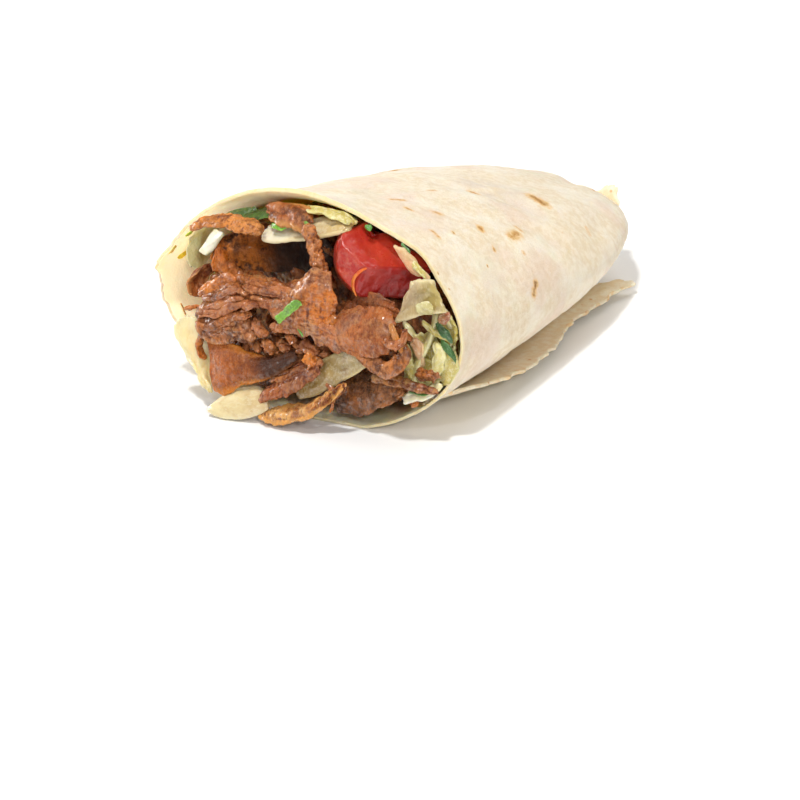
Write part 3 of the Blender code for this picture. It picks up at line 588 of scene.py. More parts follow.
def breadPaint(name, inside=False, rim=False):
    paint = Paint(
        name, Subsurface_Weight=0.8, Subsurface_Radius=(0.9, 0.75, 0.5), Subsurface_Scale=1.4 * mm,
        Specular_IOR_Level=0.25,
    )
    grain = paint.noise(0.42, 3, 0.7)
    mottle = paint.noise(1.7, 4, 0.62, shift=3)
    cloud = paint.noise(9, 3, 0.5, shift=5)
    paint.colour = paint.mix(mottle.ramp(0.36, 0.64), toast["cream"], toast["pale"])
    paint.tint(cloud.ramp(0.44, 0.66) * 0.55, toast["floury"])
    paint.tint(grain.ramp(0.50, 0.66) * 0.35, toast["cream"])
    freckle = paint.noise(0.8, 4, 0.7, shift=31).ramp(0.56, 0.70)
    freckle = freckle * paint.noise(6, 3, 0.6, shift=33).ramp(0.44, 0.62)
    paint.tint(freckle * 0.30, toast["gold"])
    # what is inside shows faintly through the thin bread
    paint.tint(paint.noise(17, 2, 0.5, shift=8).ramp(0.50, 0.66) * 0.42, toast["pink"])
    paint.tint(paint.noise(14, 2, 0.5, shift=21).ramp(0.58, 0.70) * 0.18, toast["green"])
    # painted shade of the soft folds pressed into the upper side, in a mauve tone
    shade = paint.near(bagPoint(58, math.radians(112)), 15)
    shade = shade * paint.noise(6, 2, 0.5, shift=2).ramp(0.34, 0.6)
    paint.tint(shade * 0.42, toast["mauve"])
    paint.tint(paint.near(bagPoint(20, math.radians(152)), 8) * 0.22, toast["green"])
    if inside:
        oily = paint.noise(7, 3, 0.55, shift=13).ramp(0.35, 0.65)
        paint.tint(oily * 0.4 + 0.5, toast["oily"])
        low = paint.axis(2).ramp(9, 1) * paint.axis(0).ramp(0, 6)
        paint.tint(low * 0.35, toast["soaked"])
    rimAway = paint.axis(0) - cutBack(paint.axis(2))
    edge = (rimAway + mottle * 1.6).ramp(2.0, 0.5)
    paint.tint(edge * (0.75 if rim else 0.5), toast["rim"])
    if rim:
        paint.tint(paint.noise(2.4, 3, 0.6, shift=4).ramp(0.5, 0.7) * 0.5, toast["rimGold"])
    height = mottle * 0.6 + grain * 0.4
    if not inside and not rim:
        jitter = (paint.noise(1.1, 4, 0.75, shift=9) - 0.5) * 7
        patchy = paint.noise(0.6, 3, 0.7, shift=14).ramp(0.36, 0.56) * 0.45 + 0.55
        for *ends, radius, strength, dark in toast["specks"]:
            away = paint.nearLine(*bagLine(*ends)) + jitter * radius
            blot = away.ramp(radius * 2.6, radius * 0.2) * patchy
            ring = away.ramp(radius * 5.2, radius * 0.9) * 0.85
            paint.tint(ring * strength, toast["gold"])
            tone = [a + (b - a) * min(dark * 0.85, 1) for a, b in zip(toast["toasted"], toast["burnt"])]
            paint.tint(blot * strength, tone)
    pores = paint.cells(1.15, 4).ramp(0.24, 0.05) * paint.noise(5, 2, shift=6).ramp(0.5, 0.62)
    paint.tint(pores * 0.16, toast["gold"])
    paint.bumps((paint.noise(3.4, 3, 0.55, shift=1), 0.42), (height, 0.26), (grain, 0.07))
    if inside:  # light that comes through the thin far wall
        glow = paint.axis(1).ramp(12, 34) * paint.axis(0).ramp(26, 2) * paint.axis(2).ramp(-4, 12)
        paint.set("Emission Color", paint.mix(glow, (0, 0, 0), toast["lightThrough"]))
        paint.set("Emission Strength", toast["glow"])
    return paint.finish(0.62 - mottle * 0.12 - (0.12 if inside else 0.0))


outsideBread = breadPaint("flatbreadOutside")
insideBread = breadPaint("flatbreadInside", inside=True)
rimBread = breadPaint("flatbreadRim", rim=True)
roll = buildBread()
dress(roll, "flatbread", ["flatbread"], outsideBread, insideBread, rimBread)
print("flatbread rolled")

flapSettings = {
    "inner": [(2, -27, 5), (22, -19, 1.7), (45, -18, 1.6), (68, -19, 2.2), (88, -27, 3.2)],
    "outer": [(1.5, -33, 9.6), (22, -37.6, 5.6), (45, -36.4, 3), (68, -32.4, 2.6), (92.5, -36, 2.8)],
    # the last tone here is painted shade, for the flap's inner side near the seam
    "cream": (0.84, 0.70, 0.47), "pale": (0.90, 0.81, 0.62), "seamShade": (0.74, 0.54, 0.27),
}


def flapPaint():
    paint = Paint(
        "flatbreadFlap", Subsurface_Weight=0.12, Subsurface_Radius=(1.0, 0.55, 0.25),
        Subsurface_Scale=1.2 * mm, Specular_IOR_Level=0.3,
    )
    mottle, grain = paint.noise(1.7, 4, 0.62, shift=3), paint.noise(0.42, 3, 0.7)
    paint.colour = paint.mix(mottle.ramp(0.36, 0.64), flapSettings["cream"], flapSettings["pale"])
    across = paint.attribute("across") + (paint.noise(2.2, 3, 0.6, shift=7) - 0.5) * 0.22
    # painted shade: the flap's inner side, near the seam where it runs in under the roll, is painted darker
    paint.tint(across.ramp(0.55, 0.1) * 0.35, flapSettings["seamShade"])
    paint.tint(across.ramp(0.86, 0.96) * paint.noise(3.4, 2, shift=4).ramp(0.5, 0.62) * 0.5, toast["gold"])
    spots = paint.cells(4.6, 2).ramp(0.13, 0.05)
    paint.tint(spots * 0.7, toast["toasted"])
    paint.bumps((paint.noise(3.4, 3, 0.55, shift=1), 0.28), (mottle * 0.6 + grain * 0.4, 0.16))
    return paint.finish(0.62 - mottle * 0.1)


def buildFlap():
    inner, outer = line(flapSettings["inner"]), line(flapSettings["outer"])
    centre = [(a + b) / 2 for a, b in zip(inner, outer)]
    reach = [(b - a) / 2 for a, b in zip(inner, outer)]
    return slab(
        "flatbreadFlap", centre, reach, 1.1, seed=2, ragged=0.03, ripple=0.25, tips=(0.9, 0.7),
        cell=0.6, edge=0.7, relief=0.10, reliefSize=5.0, nibble=1.0, inBag=False,
    )


def buildTornCorner():
    return slab(
        "flatbreadTornCorner", [(106.2, -16.4, 18.2), (106.0, -20.0, 18.4), (104.2, -23.4, 16.6)],
        [(0.5, -0.3, 0.6), (0.9, -0.9, 1.6), (0.7, -0.9, 0.7)], 0.7, seed=5, ragged=0.4, ripple=0.2,
        tips=(0.2, 0.3), cell=0.25, edge=0.4, relief=0.1, nibble=1.3, inBag=False,
    )


flapFinish = flapPaint()
dress(buildFlap(), "flatbread", ["flatbread"], flapFinish)
dress(buildTornCorner(), "flatbread", ["flatbread"], flapFinish)
print("flap and torn corner laid")

# the meat


def meatPaint(name, start, end, dark, pale=(0.60, 0.31, 0.17), wet=0.5, paleShare=0.35, darkShare=0.55,
              char=0.0, fibres=(2.0, 0.8, 1.4), edgeTone=None, mauveShare=0.3, gloom=()):
    # start and end are its colours at the two ends, dark and pale lie in its hollows and on its ridges as
    # painted shade and painted light, and in its patches and fibres, char browns it in spots, and gloom
    # lists places of painted
    # shade: where, how wide, how strong
    start, end, pale = [tuple(a * b for a, b in zip(tone, warmth)) for tone in (start, end, pale)]
    paint = Paint(
        name, Subsurface_Weight=0.12, Subsurface_Radius=(1.0, 0.35, 0.15), Subsurface_Scale=0.9 * mm,
        Coat_Roughness=0.11, Coat_IOR=1.6, Specular_IOR_Level=0.25,
    )
    along = paint.attribute("along") + (paint.noise(3, 3, 0.6, shift=1) - 0.5) * 0.5
    lift = paint.attribute("lift")
    broad = paint.noise(3.6, 4, 0.6, shift=2)
    streak = paint.noise(1.0, 4, 0.62, stretch=fibres, shift=3)
    grain = paint.noise(0.35, 3, 0.65, shift=4)
    paint.colour = paint.mix(along.ramp(0.15, 0.85), start, end)
    patches = [  # size and shift of the noise, the two ends of its ramp, share, tone
        (5.0, 11, 0.48, 0.62, 0.4, amber), (4.2, 15, 0.50, 0.64, mauveShare, mauve),
        (6.5, 19, 0.50, 0.66, 0.5, dark), (5.5, 23, 0.54, 0.68, paleShare, pale),
    ]
    for size, shift, low, high, share, tone in patches:
        paint.tint(paint.noise(size, 3, 0.5, shift=shift).ramp(low, high) * share, tone)
    # painted shade and light: the lift of the relief darkens its hollows and pales its raised parts,
    # loosened by the fibres
    raised = lift + (streak - 0.5) * 0.5
    marks = [  # the height it follows, the two ends of its ramp, share, tone
        (broad, 0.48, 0.66, darkShare, dark), (raised, 0.02, 0.42, paleShare, pale),
        (raised, 0.0, -0.30, 0.9, dark), (streak, 0.52, 0.64, paleShare * 0.8, pale),
        (streak, 0.49, 0.37, 0.9 * darkShare, dark), (grain, 0.54, 0.68, 0.35, pale),
        (grain, 0.46, 0.32, 0.35, dark),
    ]
    for height, low, high, share, tone in marks:
        paint.tint(height.ramp(low, high) * share, tone)
    if edgeTone:
        rim = paint.attribute("across")
        rim = (rim.most(0.0 - rim) + (broad - 0.5) * 0.5).ramp(0.60, 0.95)
        paint.tint(rim * 0.85, edgeTone)
    if char:
        burnt = paint.noise(1.5, 4, 0.65, shift=6).ramp(0.60 - 0.1 * char, 0.72)
        paint.tint(burnt * 0.75 * char, charred)
    # gloom: painted shade at the listed places
    for point, radius, strength in gloom:
        paint.tint(paint.near(point, radius).ramp(0.0, 0.7) * strength, deepDark)
    glisten = paint.noise(1.1, 4, 0.7, shift=7)
    paint.set("Coat Weight", (glisten + lift * 0.12).ramp(0.49, 0.55) * wet)
    paint.bumps((broad, 0.35), (streak, 0.32), (paint.noise(0.7, 2, 0.6, shift=8), 0.22), (grain, 0.04))
    return paint.finish(0.48 - glisten.ramp(0.45, 0.55) * 0.30 * wet)


brownDark, redDark, deepDark = (0.10, 0.027, 0.008), (0.13, 0.027, 0.007), (0.030, 0.012, 0.007)
amber, mauve, charred = (0.46, 0.135, 0.02), (0.30, 0.14, 0.08), (0.09, 0.022, 0.008)
warmth = (0.97, 0.80, 0.50)  # every tone of meat is multiplied by this

lowFold = dict(
    thick=1.6, ragged=0.16, tips=(0.7, 0.5), relief=0.2, layers=0.5, layerSize=(9.0, 1.4), nibble=0.7,
    cell=0.35,
)
meatPieces = {
    "meat_crisp_strip": {
        "shape": dict(
            centre=[(-4, 25.6, 42.4), (-3, 19.5, 44.2), (-2.5, 13, 44), (-2.5, 7.6, 43.2)],
            reach=[(2.8, 0, 0.3)], thick=1.7, ragged=0.12, ripple=0.3, seed=30, tips=(0.7, 0.5),
            relief=0.35, reliefSize=1.6, cell=0.4,
        ),
        "paint": dict(
            start=(0.88, 0.36, 0.08), end=(0.70, 0.32, 0.11), dark=redDark, wet=1.0, char=0.55,
            mauveShare=0.1, darkShare=0.4,
        ),
    },
    "meat_top_slice": {
        "shape": dict(
            centre=[(2.5, 9.6, 46.6), (1.5, 4, 46.8), (0.5, -1, 46.6), (0, -3.8, 45.4)],
            reach=[(3.0, 0.3, 1.7)], thick=1.4, ragged=0.12, ripple=0.4, seed=33, tips=(0.3, 0.5),
            relief=0.25, layers=0.35,
        ),
        "paint": dict(
            start=(0.36, 0.105, 0.03), end=(0.42, 0.15, 0.045), dark=brownDark, edgeTone=(0.52, 0.22, 0.05),
        ),
    },
    "meat_knobbly_strip": {
        "shape": dict(
            centre=[(-3.2, -4.4, 47.0), (-3.6, -6.2, 43.6), (-4, -7.4, 40.4), (-4.4, -8.2, 37),
                    (-4.6, -9.8, 34.4)],
            reach=[(0.4, 1.5, -0.8)], thick=2.4, ragged=0.25, ripple=0.3, seed=34, relief=0.55,
            reliefSize=1.4, cell=0.35, nibble=0.6,
        ),
        "paint": dict(start=(0.58, 0.25, 0.10), end=(0.50, 0.15, 0.03), dark=redDark, wet=0.9, char=0.8),
    },
    "meat_slab_middle": {
        "shape": dict(
            centre=[(-7.3, 5.5, 28.4), (-7.6, 1.1, 28.4), (-7.8, -3.5, 29.3), (-7.6, -7.4, 30.4),
                    (-7.4, -10.9, 29.8), (-6.8, -13.2, 30.2)],
            reach=[(0.3, -0.5, 1.4), (0.6, -0.7, 3.6), (1.0, -0.9, 6.4), (1.2, -0.6, 8.2),
                   (1.2, -0.6, 8.1), (0.8, -0.4, 4.7)],
            thick=1.7, ragged=0.08, ripple=0.3, cup=-0.4, seed=35, tips=(0.8, 0.95), relief=0.13,
            reliefSize=1.2, layers=0.1, layerSize=(4.0, 7.0), ridges=0.14, ridgeSize=(0.8, 5.0), nibble=0.6,
            cell=0.35, edge=0.25,
        ),
        "paint": dict(
            start=(0.42, 0.18, 0.10), end=(0.62, 0.20, 0.03), dark=redDark, wet=1.0, paleShare=0.45,
            pale=(0.60, 0.35, 0.22), fibres=(0.6, 1.6, 0.6), mauveShare=0.7,
        ),
    },
    "meat_fold_left": {
        "shape": dict(
            centre=[(-4.8, 25.6, 20.4), (-6, 21, 21.8), (-6.4, 14.5, 21.6), (-6.2, 8.5, 21.6)],
            reach=[(1.4, 0.2, 3.4), (1.8, 0.2, 4.2), (2.0, 0.4, 4.2), (1.8, 0.2, 3.4)], thick=3.2,
            ragged=0.16, ripple=0.7, cup=-1.2, seed=36, tips=(0.8, 0.8), relief=0.24, layers=0.75,
            layerSize=(7.0, 3.0), ridges=0.2, ridgeSize=(5.0, 1.3), nibble=0.8, cell=0.4,
        ),
        "paint": dict(
            start=(0.52, 0.20, 0.075), end=(0.46, 0.19, 0.095), dark=brownDark, wet=1.0, paleShare=0.45,
            pale=(0.64, 0.36, 0.20),
        ),
    },
    "meat_band_upper": {
        "shape": dict(
            centre=[(-2.6, 24.8, 27), (-3.6, 16.5, 29), (-3.4, 8, 28.8), (-2.6, -1, 30.8),
                    (-2, -8.6, 33.4)],
            reach=[(3.4, 0, 1.8), (3.6, 0, 2.4), (3.4, 0, 2.0), (3.0, 0, 1.6), (2.2, 0, 1.2)], thick=2.6,
            ragged=0.18, ripple=0.5, seed=37, relief=0.22, layers=0.6, layerSize=(8.0, 2.6), ridges=0.18,
            ridgeSize=(5.0, 1.3), nibble=0.7, cell=0.4,
        ),
        "paint": dict(
            start=(0.52, 0.19, 0.06), end=(0.44, 0.18, 0.095), dark=redDark, wet=1.0, paleShare=0.4,
            pale=(0.62, 0.35, 0.20),
        ),
    },
    "meat_hollow_slice": {
        "shape": dict(
            centre=[(0.4, 24.8, 31.8), (4.4, 20.6, 34), (8.6, 13, 34), (9.2, 4, 34.6), (6.4, -4.4, 36)],
            reach=[(0.4, 0.2, 4.6), (0.2, 0, 5.2), (0, 0, 5.2), (0, 0, 5.2), (0, 0, 4.6)], thick=1.6,
            ragged=0.12, ripple=0.5, cup=0.9, seed=38, tips=(0.7, 0.8), relief=0.25, layers=0.4,
            layerSize=(9.0, 4.0),
        ),
        # it runs from a bright orange lobe to nearly black, which is painted shade deep in the hollow; its
        # gloom adds more painted shade
        "paint": dict(
            start=(0.70, 0.25, 0.04), end=(0.060, 0.026, 0.018), dark=deepDark, wet=0.2, darkShare=0.4,
            paleShare=0.05, mauveShare=0.1, gloom=[((8, 7, 32), 11, 0.9), ((8, 0, 35), 11, 0.95)],
        ),
    },
    "meat_curl_left": {
        "shape": dict(
            centre=[(-1.8, 27.2, 24.2), (-1.0, 28.2, 28.0), (1.0, 25.6, 31.2)],
            reach=[(2.2, -1.0, -0.2), (2.6, -1.2, -0.4), (2.4, -1, -0.4)], thick=1.4, ragged=0.08,
            ripple=0.2, cup=-1.3, seed=39, tips=(0.8, 0.8), relief=0.2, layers=0.3,
        ),
        # painted shade: it darkens towards its end, inside the curl
        "paint": dict(
            start=(0.48, 0.17, 0.06), end=(0.20, 0.045, 0.016), dark=redDark, wet=0.6,
            edgeTone=(0.56, 0.25, 0.08),
        ),
    },
    "meat_slice_right": {
        "shape": dict(
            centre=[(-7.3, -7.4, 23.4), (-7.6, -12.1, 24.4), (-7.7, -17.5, 25.4), (-7.2, -22.6, 26.1),
                    (-6.5, -28, 26.6)],
            reach=[(0.7, 0.6, 2.2), (1.2, 0.7, 3.8), (1.7, 0.4, 4.9), (2.0, 0.3, 5.2), (1.6, 0.2, 3.6)],
            thick=1.9, cup=-1.4, seed=40, tips=(0.6, 0.9), relief=0.11, reliefSize=1.3, layers=0.1,
            layerSize=(9.0, 5.0), ridges=0.08, ridgeSize=(4.0, 1.0), nibble=0.5, cell=0.35, edge=0.25,
        ),
        "paint": dict(
            start=(0.50, 0.20, 0.11), end=(0.44, 0.15, 0.06), dark=redDark, wet=1.0, paleShare=0.4,
            pale=(0.60, 0.34, 0.20), mauveShare=0.7, darkShare=0.5,
        ),
    },
    "meat_curl_right": {
        "shape": dict(
            centre=[(-7.4, -18, 20.2), (-8.2, -22.4, 18.9), (-8.5, -26.4, 18.6), (-8.6, -29.4, 20.2),
                    (-8.2, -31.1, 23), (-8, -30.3, 25.8)],
            reach=[(0.6, 0.2, 1.0), (0.6, 0.2, 1.7), (0.5, 0.3, 1.9), (0.3, 1.2, 1.4), (0, 1.6, 0.2),
                   (0, 0.9, -0.5)],
            thick=1.8, ragged=0.16, ripple=0.4, seed=41, relief=0.2, layers=0.25, layerSize=(8.0, 1.6),
            nibble=0.5, cell=0.35,
        ),
        "paint": dict(
            start=(0.48, 0.20, 0.09), end=(0.56, 0.22, 0.07), dark=brownDark, wet=1.0, paleShare=0.4,
        ),
    },
    "meat_orange_strand": {
        "shape": dict(
            centre=[(-7.6, -27.4, 29), (-8.8, -29.8, 25.6), (-8.2, -32, 22)], reach=[(0.2, 0.8, -0.5)],
            thick=1.0, ripple=0.15, seed=42, tips=(0.4, 0.1), cell=0.25, relief=0.12, nibble=0.15,
        ),
        "paint": dict(
            start=(0.56, 0.27, 0.10), end=(0.72, 0.32, 0.05), dark=(0.32, 0.10, 0.02), wet=0.8,
            darkShare=0.3,
        ),
    },
    "meat_slice_low_left": {
        "shape": dict(
            centre=[(-8.0, 21.6, 11.6), (-8.8, 17.5, 11.5), (-8.7, 13.0, 12.3), (-8.2, 6.4, 13.1),
                    (-7.2, -2.1, 17.4)],
            reach=[(1.6, 0.9, 6.0), (1.6, 0.8, 6.6), (1.1, 0.6, 4.3), (1.0, 1.0, 2.5), (0.8, 0.7, 1.5)],
            thick=1.1, ragged=0.05, cup=-0.8, seed=43, tips=(0.95, 0.7), relief=0.09, reliefSize=3.2,
            layers=0.12, layerSize=(12.0, 5.0), nibble=0.3, edge=0.3, square=True,
        ),
        "paint": dict(
            start=(0.48, 0.145, 0.032), end=(0.13, 0.036, 0.012), dark=(0.15, 0.034, 0.009), wet=0.7,
            darkShare=0.5, paleShare=0.15, edgeTone=(0.62, 0.20, 0.02), fibres=(1.2, 0.8, 2.4),
            mauveShare=0.2, gloom=[((-7, 2, 16), 11, 0.8)],
        ),
    },
    "meat_fold_low_1": {
        "shape": dict(
            centre=[(-9.6, 7, 6.6), (-9.2, 1.4, 9.2), (-8.6, -3.6, 12.4), (-8.2, -9, 16)],
            reach=[(1.0, 0.4, 1.7)], seed=44, **lowFold,
        ),
        "paint": dict(
            start=(0.38, 0.12, 0.05), end=(0.36, 0.15, 0.09), dark=redDark, wet=0.8, paleShare=0.4,
        ),
    },
    "meat_fold_low_2": {
        "shape": dict(
            centre=[(-7.4, 5.4, 10), (-7.2, 0.4, 12.6), (-6.8, -4.4, 15.2)], reach=[(1.0, 0.4, 1.3)],
            seed=45, **lowFold,
        ),
        "paint": dict(
            start=(0.40, 0.15, 0.07), end=(0.40, 0.19, 0.12), dark=redDark, wet=0.8, paleShare=0.4,
        ),
    },
    "meat_curl_floor": {
        "shape": dict(
            centre=[(-9.4, 8, 2.2), (-10, 1.5, 2.9), (-9.6, -5.6, 5.6), (-9, -11.2, 9), (-8.6, -15, 12.8)],
            reach=[(1.6, 0.4, 0.6), (1.8, 0.4, 1.2), (1.8, 0.4, 1.3), (1.2, 0.4, 0.9), (0.6, 0.3, 0.4)],
            thick=1.9, ragged=0.16, seed=46, tips=(0.7, 0.4), relief=0.3, layers=0.45, layerSize=(9.0, 1.4),
            ridges=0.2, ridgeSize=(7.0, 0.8), nibble=0.7, cell=0.35,
        ),
        "paint": dict(
            start=(0.66, 0.32, 0.12), end=(0.52, 0.19, 0.05), dark=redDark, wet=1.0, paleShare=0.6,
            edgeTone=(0.72, 0.34, 0.08), pale=(0.88, 0.62, 0.34), darkShare=0.45, mauveShare=0.1,
        ),
    },
    "meat_slice_low_right": {
        "shape": dict(
            centre=[(-3.8, -8.5, 7), (-4.2, -15.5, 8.6), (-4.6, -22, 10.8), (-4.6, -28.2, 12.2)],
            reach=[(0.8, 0, 3.6), (0.8, 0, 4.8), (0.8, 0, 3.6), (0.6, 0, 2.0)], thick=1.7, ragged=0.12,
            ripple=0.6, seed=47, tips=(0.7, 0.8), relief=0.12, layers=0.15, nibble=0.5, edge=0.3,
        ),
        # painted shade and light: its start is nearly black where it lies back in the shade, and it turns
        # lit golden brown towards its end
        "paint": dict(
            start=(0.065, 0.028, 0.015), end=(0.40, 0.17, 0.07), dark=deepDark, wet=0.9, paleShare=0.12,
        ),
    },
    "meat_thin_strip": {
        "shape": dict(
            centre=[(-6.2, -21, 15.4), (-6.4, -26.6, 14.9), (-5.6, -31.6, 14.2), (-4.6, -36.6, 13.2)],
            reach=[(1.3, 0, 1.1), (1.2, 0, 0.9), (0.9, 0, 0.6), (0.5, 0, 0.3)], thick=1.5, ragged=0.16,
            ripple=0.25, seed=48, tips=(0.8, 0.4), relief=0.3, layers=0.35, layerSize=(8.0, 1.0), cell=0.3,
        ),
        "paint": dict(
            start=(0.38, 0.17, 0.06), end=(0.38, 0.13, 0.07), dark=brownDark, wet=1.0, paleShare=0.4,
            pale=(0.60, 0.40, 0.20),
        ),
    },
}

meatSlots = {
    "meat_hollow_slice": "meat_shaded", "meat_curl_left": "meat_shaded",
    "meat_slice_low_right": "meat_shaded",
    "meat_crisp_strip": "meat_crisp", "meat_knobbly_strip": "meat_crisp",
    "meat_orange_strand": "meat_crisp",
    "meat_curl_floor": "meat_crisp",
}

for name, settings in meatPieces.items():
    piece = slab(name.replace("meat_", "sliced_"), **settings["shape"])
    dress(piece, meatSlots.get(name, "meat"), [name], meatPaint(name, **settings["paint"]))
print("slices of meat laid")

shavings = {  # thin torn strips that lie over the slices: middle line, half width, thickness, tone
    "hollowLip": (
        [(-4.6, 14.5, 32.4), (-4.6, 9.7, 31.7), (-4.6, 5.2, 31.5), (-4.6, 0.7, 31.2)], 0.8, 1.3, "brown",
    ),
    "hollowLobe": (
        [(-2.2, 20.8, 37), (-2.2, 19.8, 34.1), (-2.2, 17.3, 31.6), (-2.2, 13.7, 30.2)], 1.6, 1.4, "crisp",
    ),
    "ridgeOne": (
        [(-7.4, 23.1, 27.8), (-7.4, 19.5, 30.5), (-7.4, 15.5, 32.6), (-7.4, 12.4, 33.3)], 0.9, 1.4,
        "golden",
    ),
    "ridgeTwo": (
        [(-8.2, 18.5, 27.6), (-8.2, 15.2, 29.8), (-8.2, 12.2, 30.8), (-8.2, 9.3, 30.3)], 0.7, 1.1, "pink",
    ),
    "ridgeThree": (
        [(-8.6, 20.9, 25.2), (-8.6, 16.9, 26.8), (-8.6, 13.5, 28.6), (-8.6, 10.2, 29.3)], 0.7, 1.2, "pink",
    ),
    "ridgeFour": (
        [(-8.8, 22.9, 23.5), (-8.8, 18.4, 24.7), (-8.8, 13.5, 27), (-8.8, 8.8, 28.2), (-8.8, 5.6, 28.2)],
        0.8, 1.3, "pink",
    ),
    "ridgeFive": (
        [(-8.8, 23.4, 21.5), (-8.8, 20.1, 21.3), (-8.8, 16.4, 22.9), (-8.8, 12.4, 24.7), (-8.8, 8.5, 25.8)],
        1.0, 1.4, "brown",
    ),
    "ridgeSix": (
        [(-8.4, 21.5, 19), (-8.4, 18, 20.3), (-8.4, 14.3, 22.1), (-8.4, 10.3, 23.7)], 0.8, 1.2, "pink",
    ),
    "shelfOne": ([(-7, 15.9, 18.6), (-7, 12.5, 20.2), (-7, 10.1, 22)], 0.7, 1.2, "brown"),
    "toothOne": ([(-7.6, 8.4, 24), (-7.6, 7.3, 22), (-7.6, 5.6, 20.3)], 1.0, 1.8, "pink"),
    "toothTwo": ([(-7.8, 4.2, 22.6), (-7.8, 0.8, 23.8), (-7.8, -2.9, 23.7)], 1.0, 1.8, "pink"),
    "toothThree": ([(-7, 7.5, 18.6), (-7, 5.4, 18), (-7, 4.2, 16.5)], 0.9, 1.6, "brown"),
    "toothFour": ([(-6.6, 2.4, 19), (-6.6, 0.4, 17.5)], 0.8, 1.4, "pink"),
    "toothFive": ([(-7.4, 0, 21.9), (-7.4, -2.3, 20.1)], 0.9, 1.5, "brown"),
    "toothSix": ([(-7, -3.1, 20.8), (-7, -5.3, 19.1), (-7, -7.3, 17.7)], 0.8, 1.4, "pink"),
    "flake": ([(-8.4, -4.9, 18.3), (-8.4, -7.1, 16.6), (-8.4, -6.4, 14.8)], 1.1, 1.2, "golden"),
    "bandMiddle": (
        [(-7.4, 10.7, 32.1), (-7.4, 5.7, 31.5), (-7.4, -0.2, 31.9), (-7.4, -4.3, 30.9)], 1.0, 1.5, "pink",
    ),
    "bandLow": ([(-7.8, 8.8, 29.5), (-7.8, 4.1, 28.6), (-7.8, -0.5, 29.5)], 0.9, 1.3, "pink"),
    "orangeCorner": ([(-8.4, -8.8, 24.6), (-8.4, -11.9, 26.4), (-8.2, -14.3, 28.6)], 0.9, 1.2, "crisp"),
    "rightLow": (
        [
            (-8.6, -9.4, 26.3), (-8.6, -12.7, 25.9), (-8.6, -16.2, 24.4), (-8.6, -20.4, 25.1),
            (-8.6, -24.4, 24.3),
        ],
        1.0, 1.5, "pink",
    ),
    "curlLobe": (
        [(-9.2, -26.4, 25.4), (-9.2, -28.9, 24.6), (-9.2, -31.3, 26.2), (-9.2, -32, 29.1)], 1.0, 1.5,
        "pink",
    ),
    # this strip lies back behind the right slice and takes the painted-shade tone
    "behindRight": (
        [(-3.5, -10.8, 25), (-3.4, -15, 27.9), (-3.4, -21.1, 29.4), (-3.2, -27.4, 29.4)], 2.5, 1.6, "shadedBehind",
    ),
    "besideLow": ([(-6.5, 23.7, 18.4), (-6.5, 25.2, 14.7), (-6.5, 24.2, 11.4)], 1.3, 1.6, "golden"),
    "stalk": ([(-2.5, 31.8, 20.9), (-2.5, 28.6, 21.9), (-2.5, 25.3, 22.2)], 0.4, 0.5, "golden"),
    "threadLow": (
        [(-8.6, -10.2, 12.2), (-8.6, -12.2, 10.6), (-8.6, -11.4, 7.3), (-8.6, -10.9, 5.3)], 0.35, 0.7,
        "brown",
    ),
    "crumbLow": ([(-4, -28.9, 9.3), (-4, -30.9, 9.2)], 0.8, 1.2, "golden"),
    "brownPiece": ([(-3, -30.3, 16), (-3, -33.3, 16.3), (-3, -36.1, 16.3)], 1.1, 1.0, "brown"),
}
# the strips lean inwards at the top, like shingles
shavingShape = {"steep": (0.45, 0.1, 0.85), "widen": 1.35, "thin": 0.75}
shavingTones = {
    "brown": dict(
        start=(0.44, 0.16, 0.05), end=(0.46, 0.17, 0.06), dark=brownDark, wet=1.0, paleShare=0.35,
    ),
    "pink": dict(start=(0.52, 0.215, 0.12), end=(0.46, 0.185, 0.10), dark=redDark, wet=1.0, paleShare=0.45),
    "golden": dict(start=(0.70, 0.27, 0.06), end=(0.58, 0.20, 0.05), dark=redDark, wet=0.8, paleShare=0.3),
    "crisp": dict(
        start=(0.62, 0.20, 0.03), end=(0.60, 0.22, 0.04), dark=redDark, wet=0.7, paleShare=0.2, char=0.4,
    ),
    # painted shade: a darker copy of the meat, for the strip that lies back in the shade behind the right
    # slice
    "shadedBehind": dict(
        start=(0.20, 0.06, 0.025), end=(0.30, 0.10, 0.045), dark=brownDark, wet=0.8, paleShare=0.1,
    ),
}
shavingFinishes = {tone: meatPaint(tone + "Shaving", **values) for tone, values in shavingTones.items()}
for i, (name, (centre, half, thick, tone)) in enumerate(shavings.items()):
    middle = line(centre)
    run = (middle[-1] - middle[0]).normalized()
    steep = Vector(shavingShape["steep"])
    side = (steep - run * steep.dot(run)).normalized() * half * shavingShape["widen"]
    piece = slab(
        name, centre, [side], thick * shavingShape["thin"], seed=300 + i, ragged=0.3, ripple=0.6, cell=0.3,
        relief=0.13, reliefSize=2.0, layers=0.15, layerSize=(6.0, 1.2), nibble=0.5, tips=(0.5, 0.4),
        edge=0.3,
    )
    dress(piece, "meat_crisp" if tone == "crisp" else "meat", [], shavingFinishes[tone])
print("torn strips laid over the slices")

packed = {
    "voxel": 0.55, "frontDepth": 26.0, "frontEnd": 6.0, "frontRelief": 0.85, "backRelief": 0.25,
    "lumpSize": 2.6, "ridgeSize": 1.2, "ridgeShare": 0.4,
}


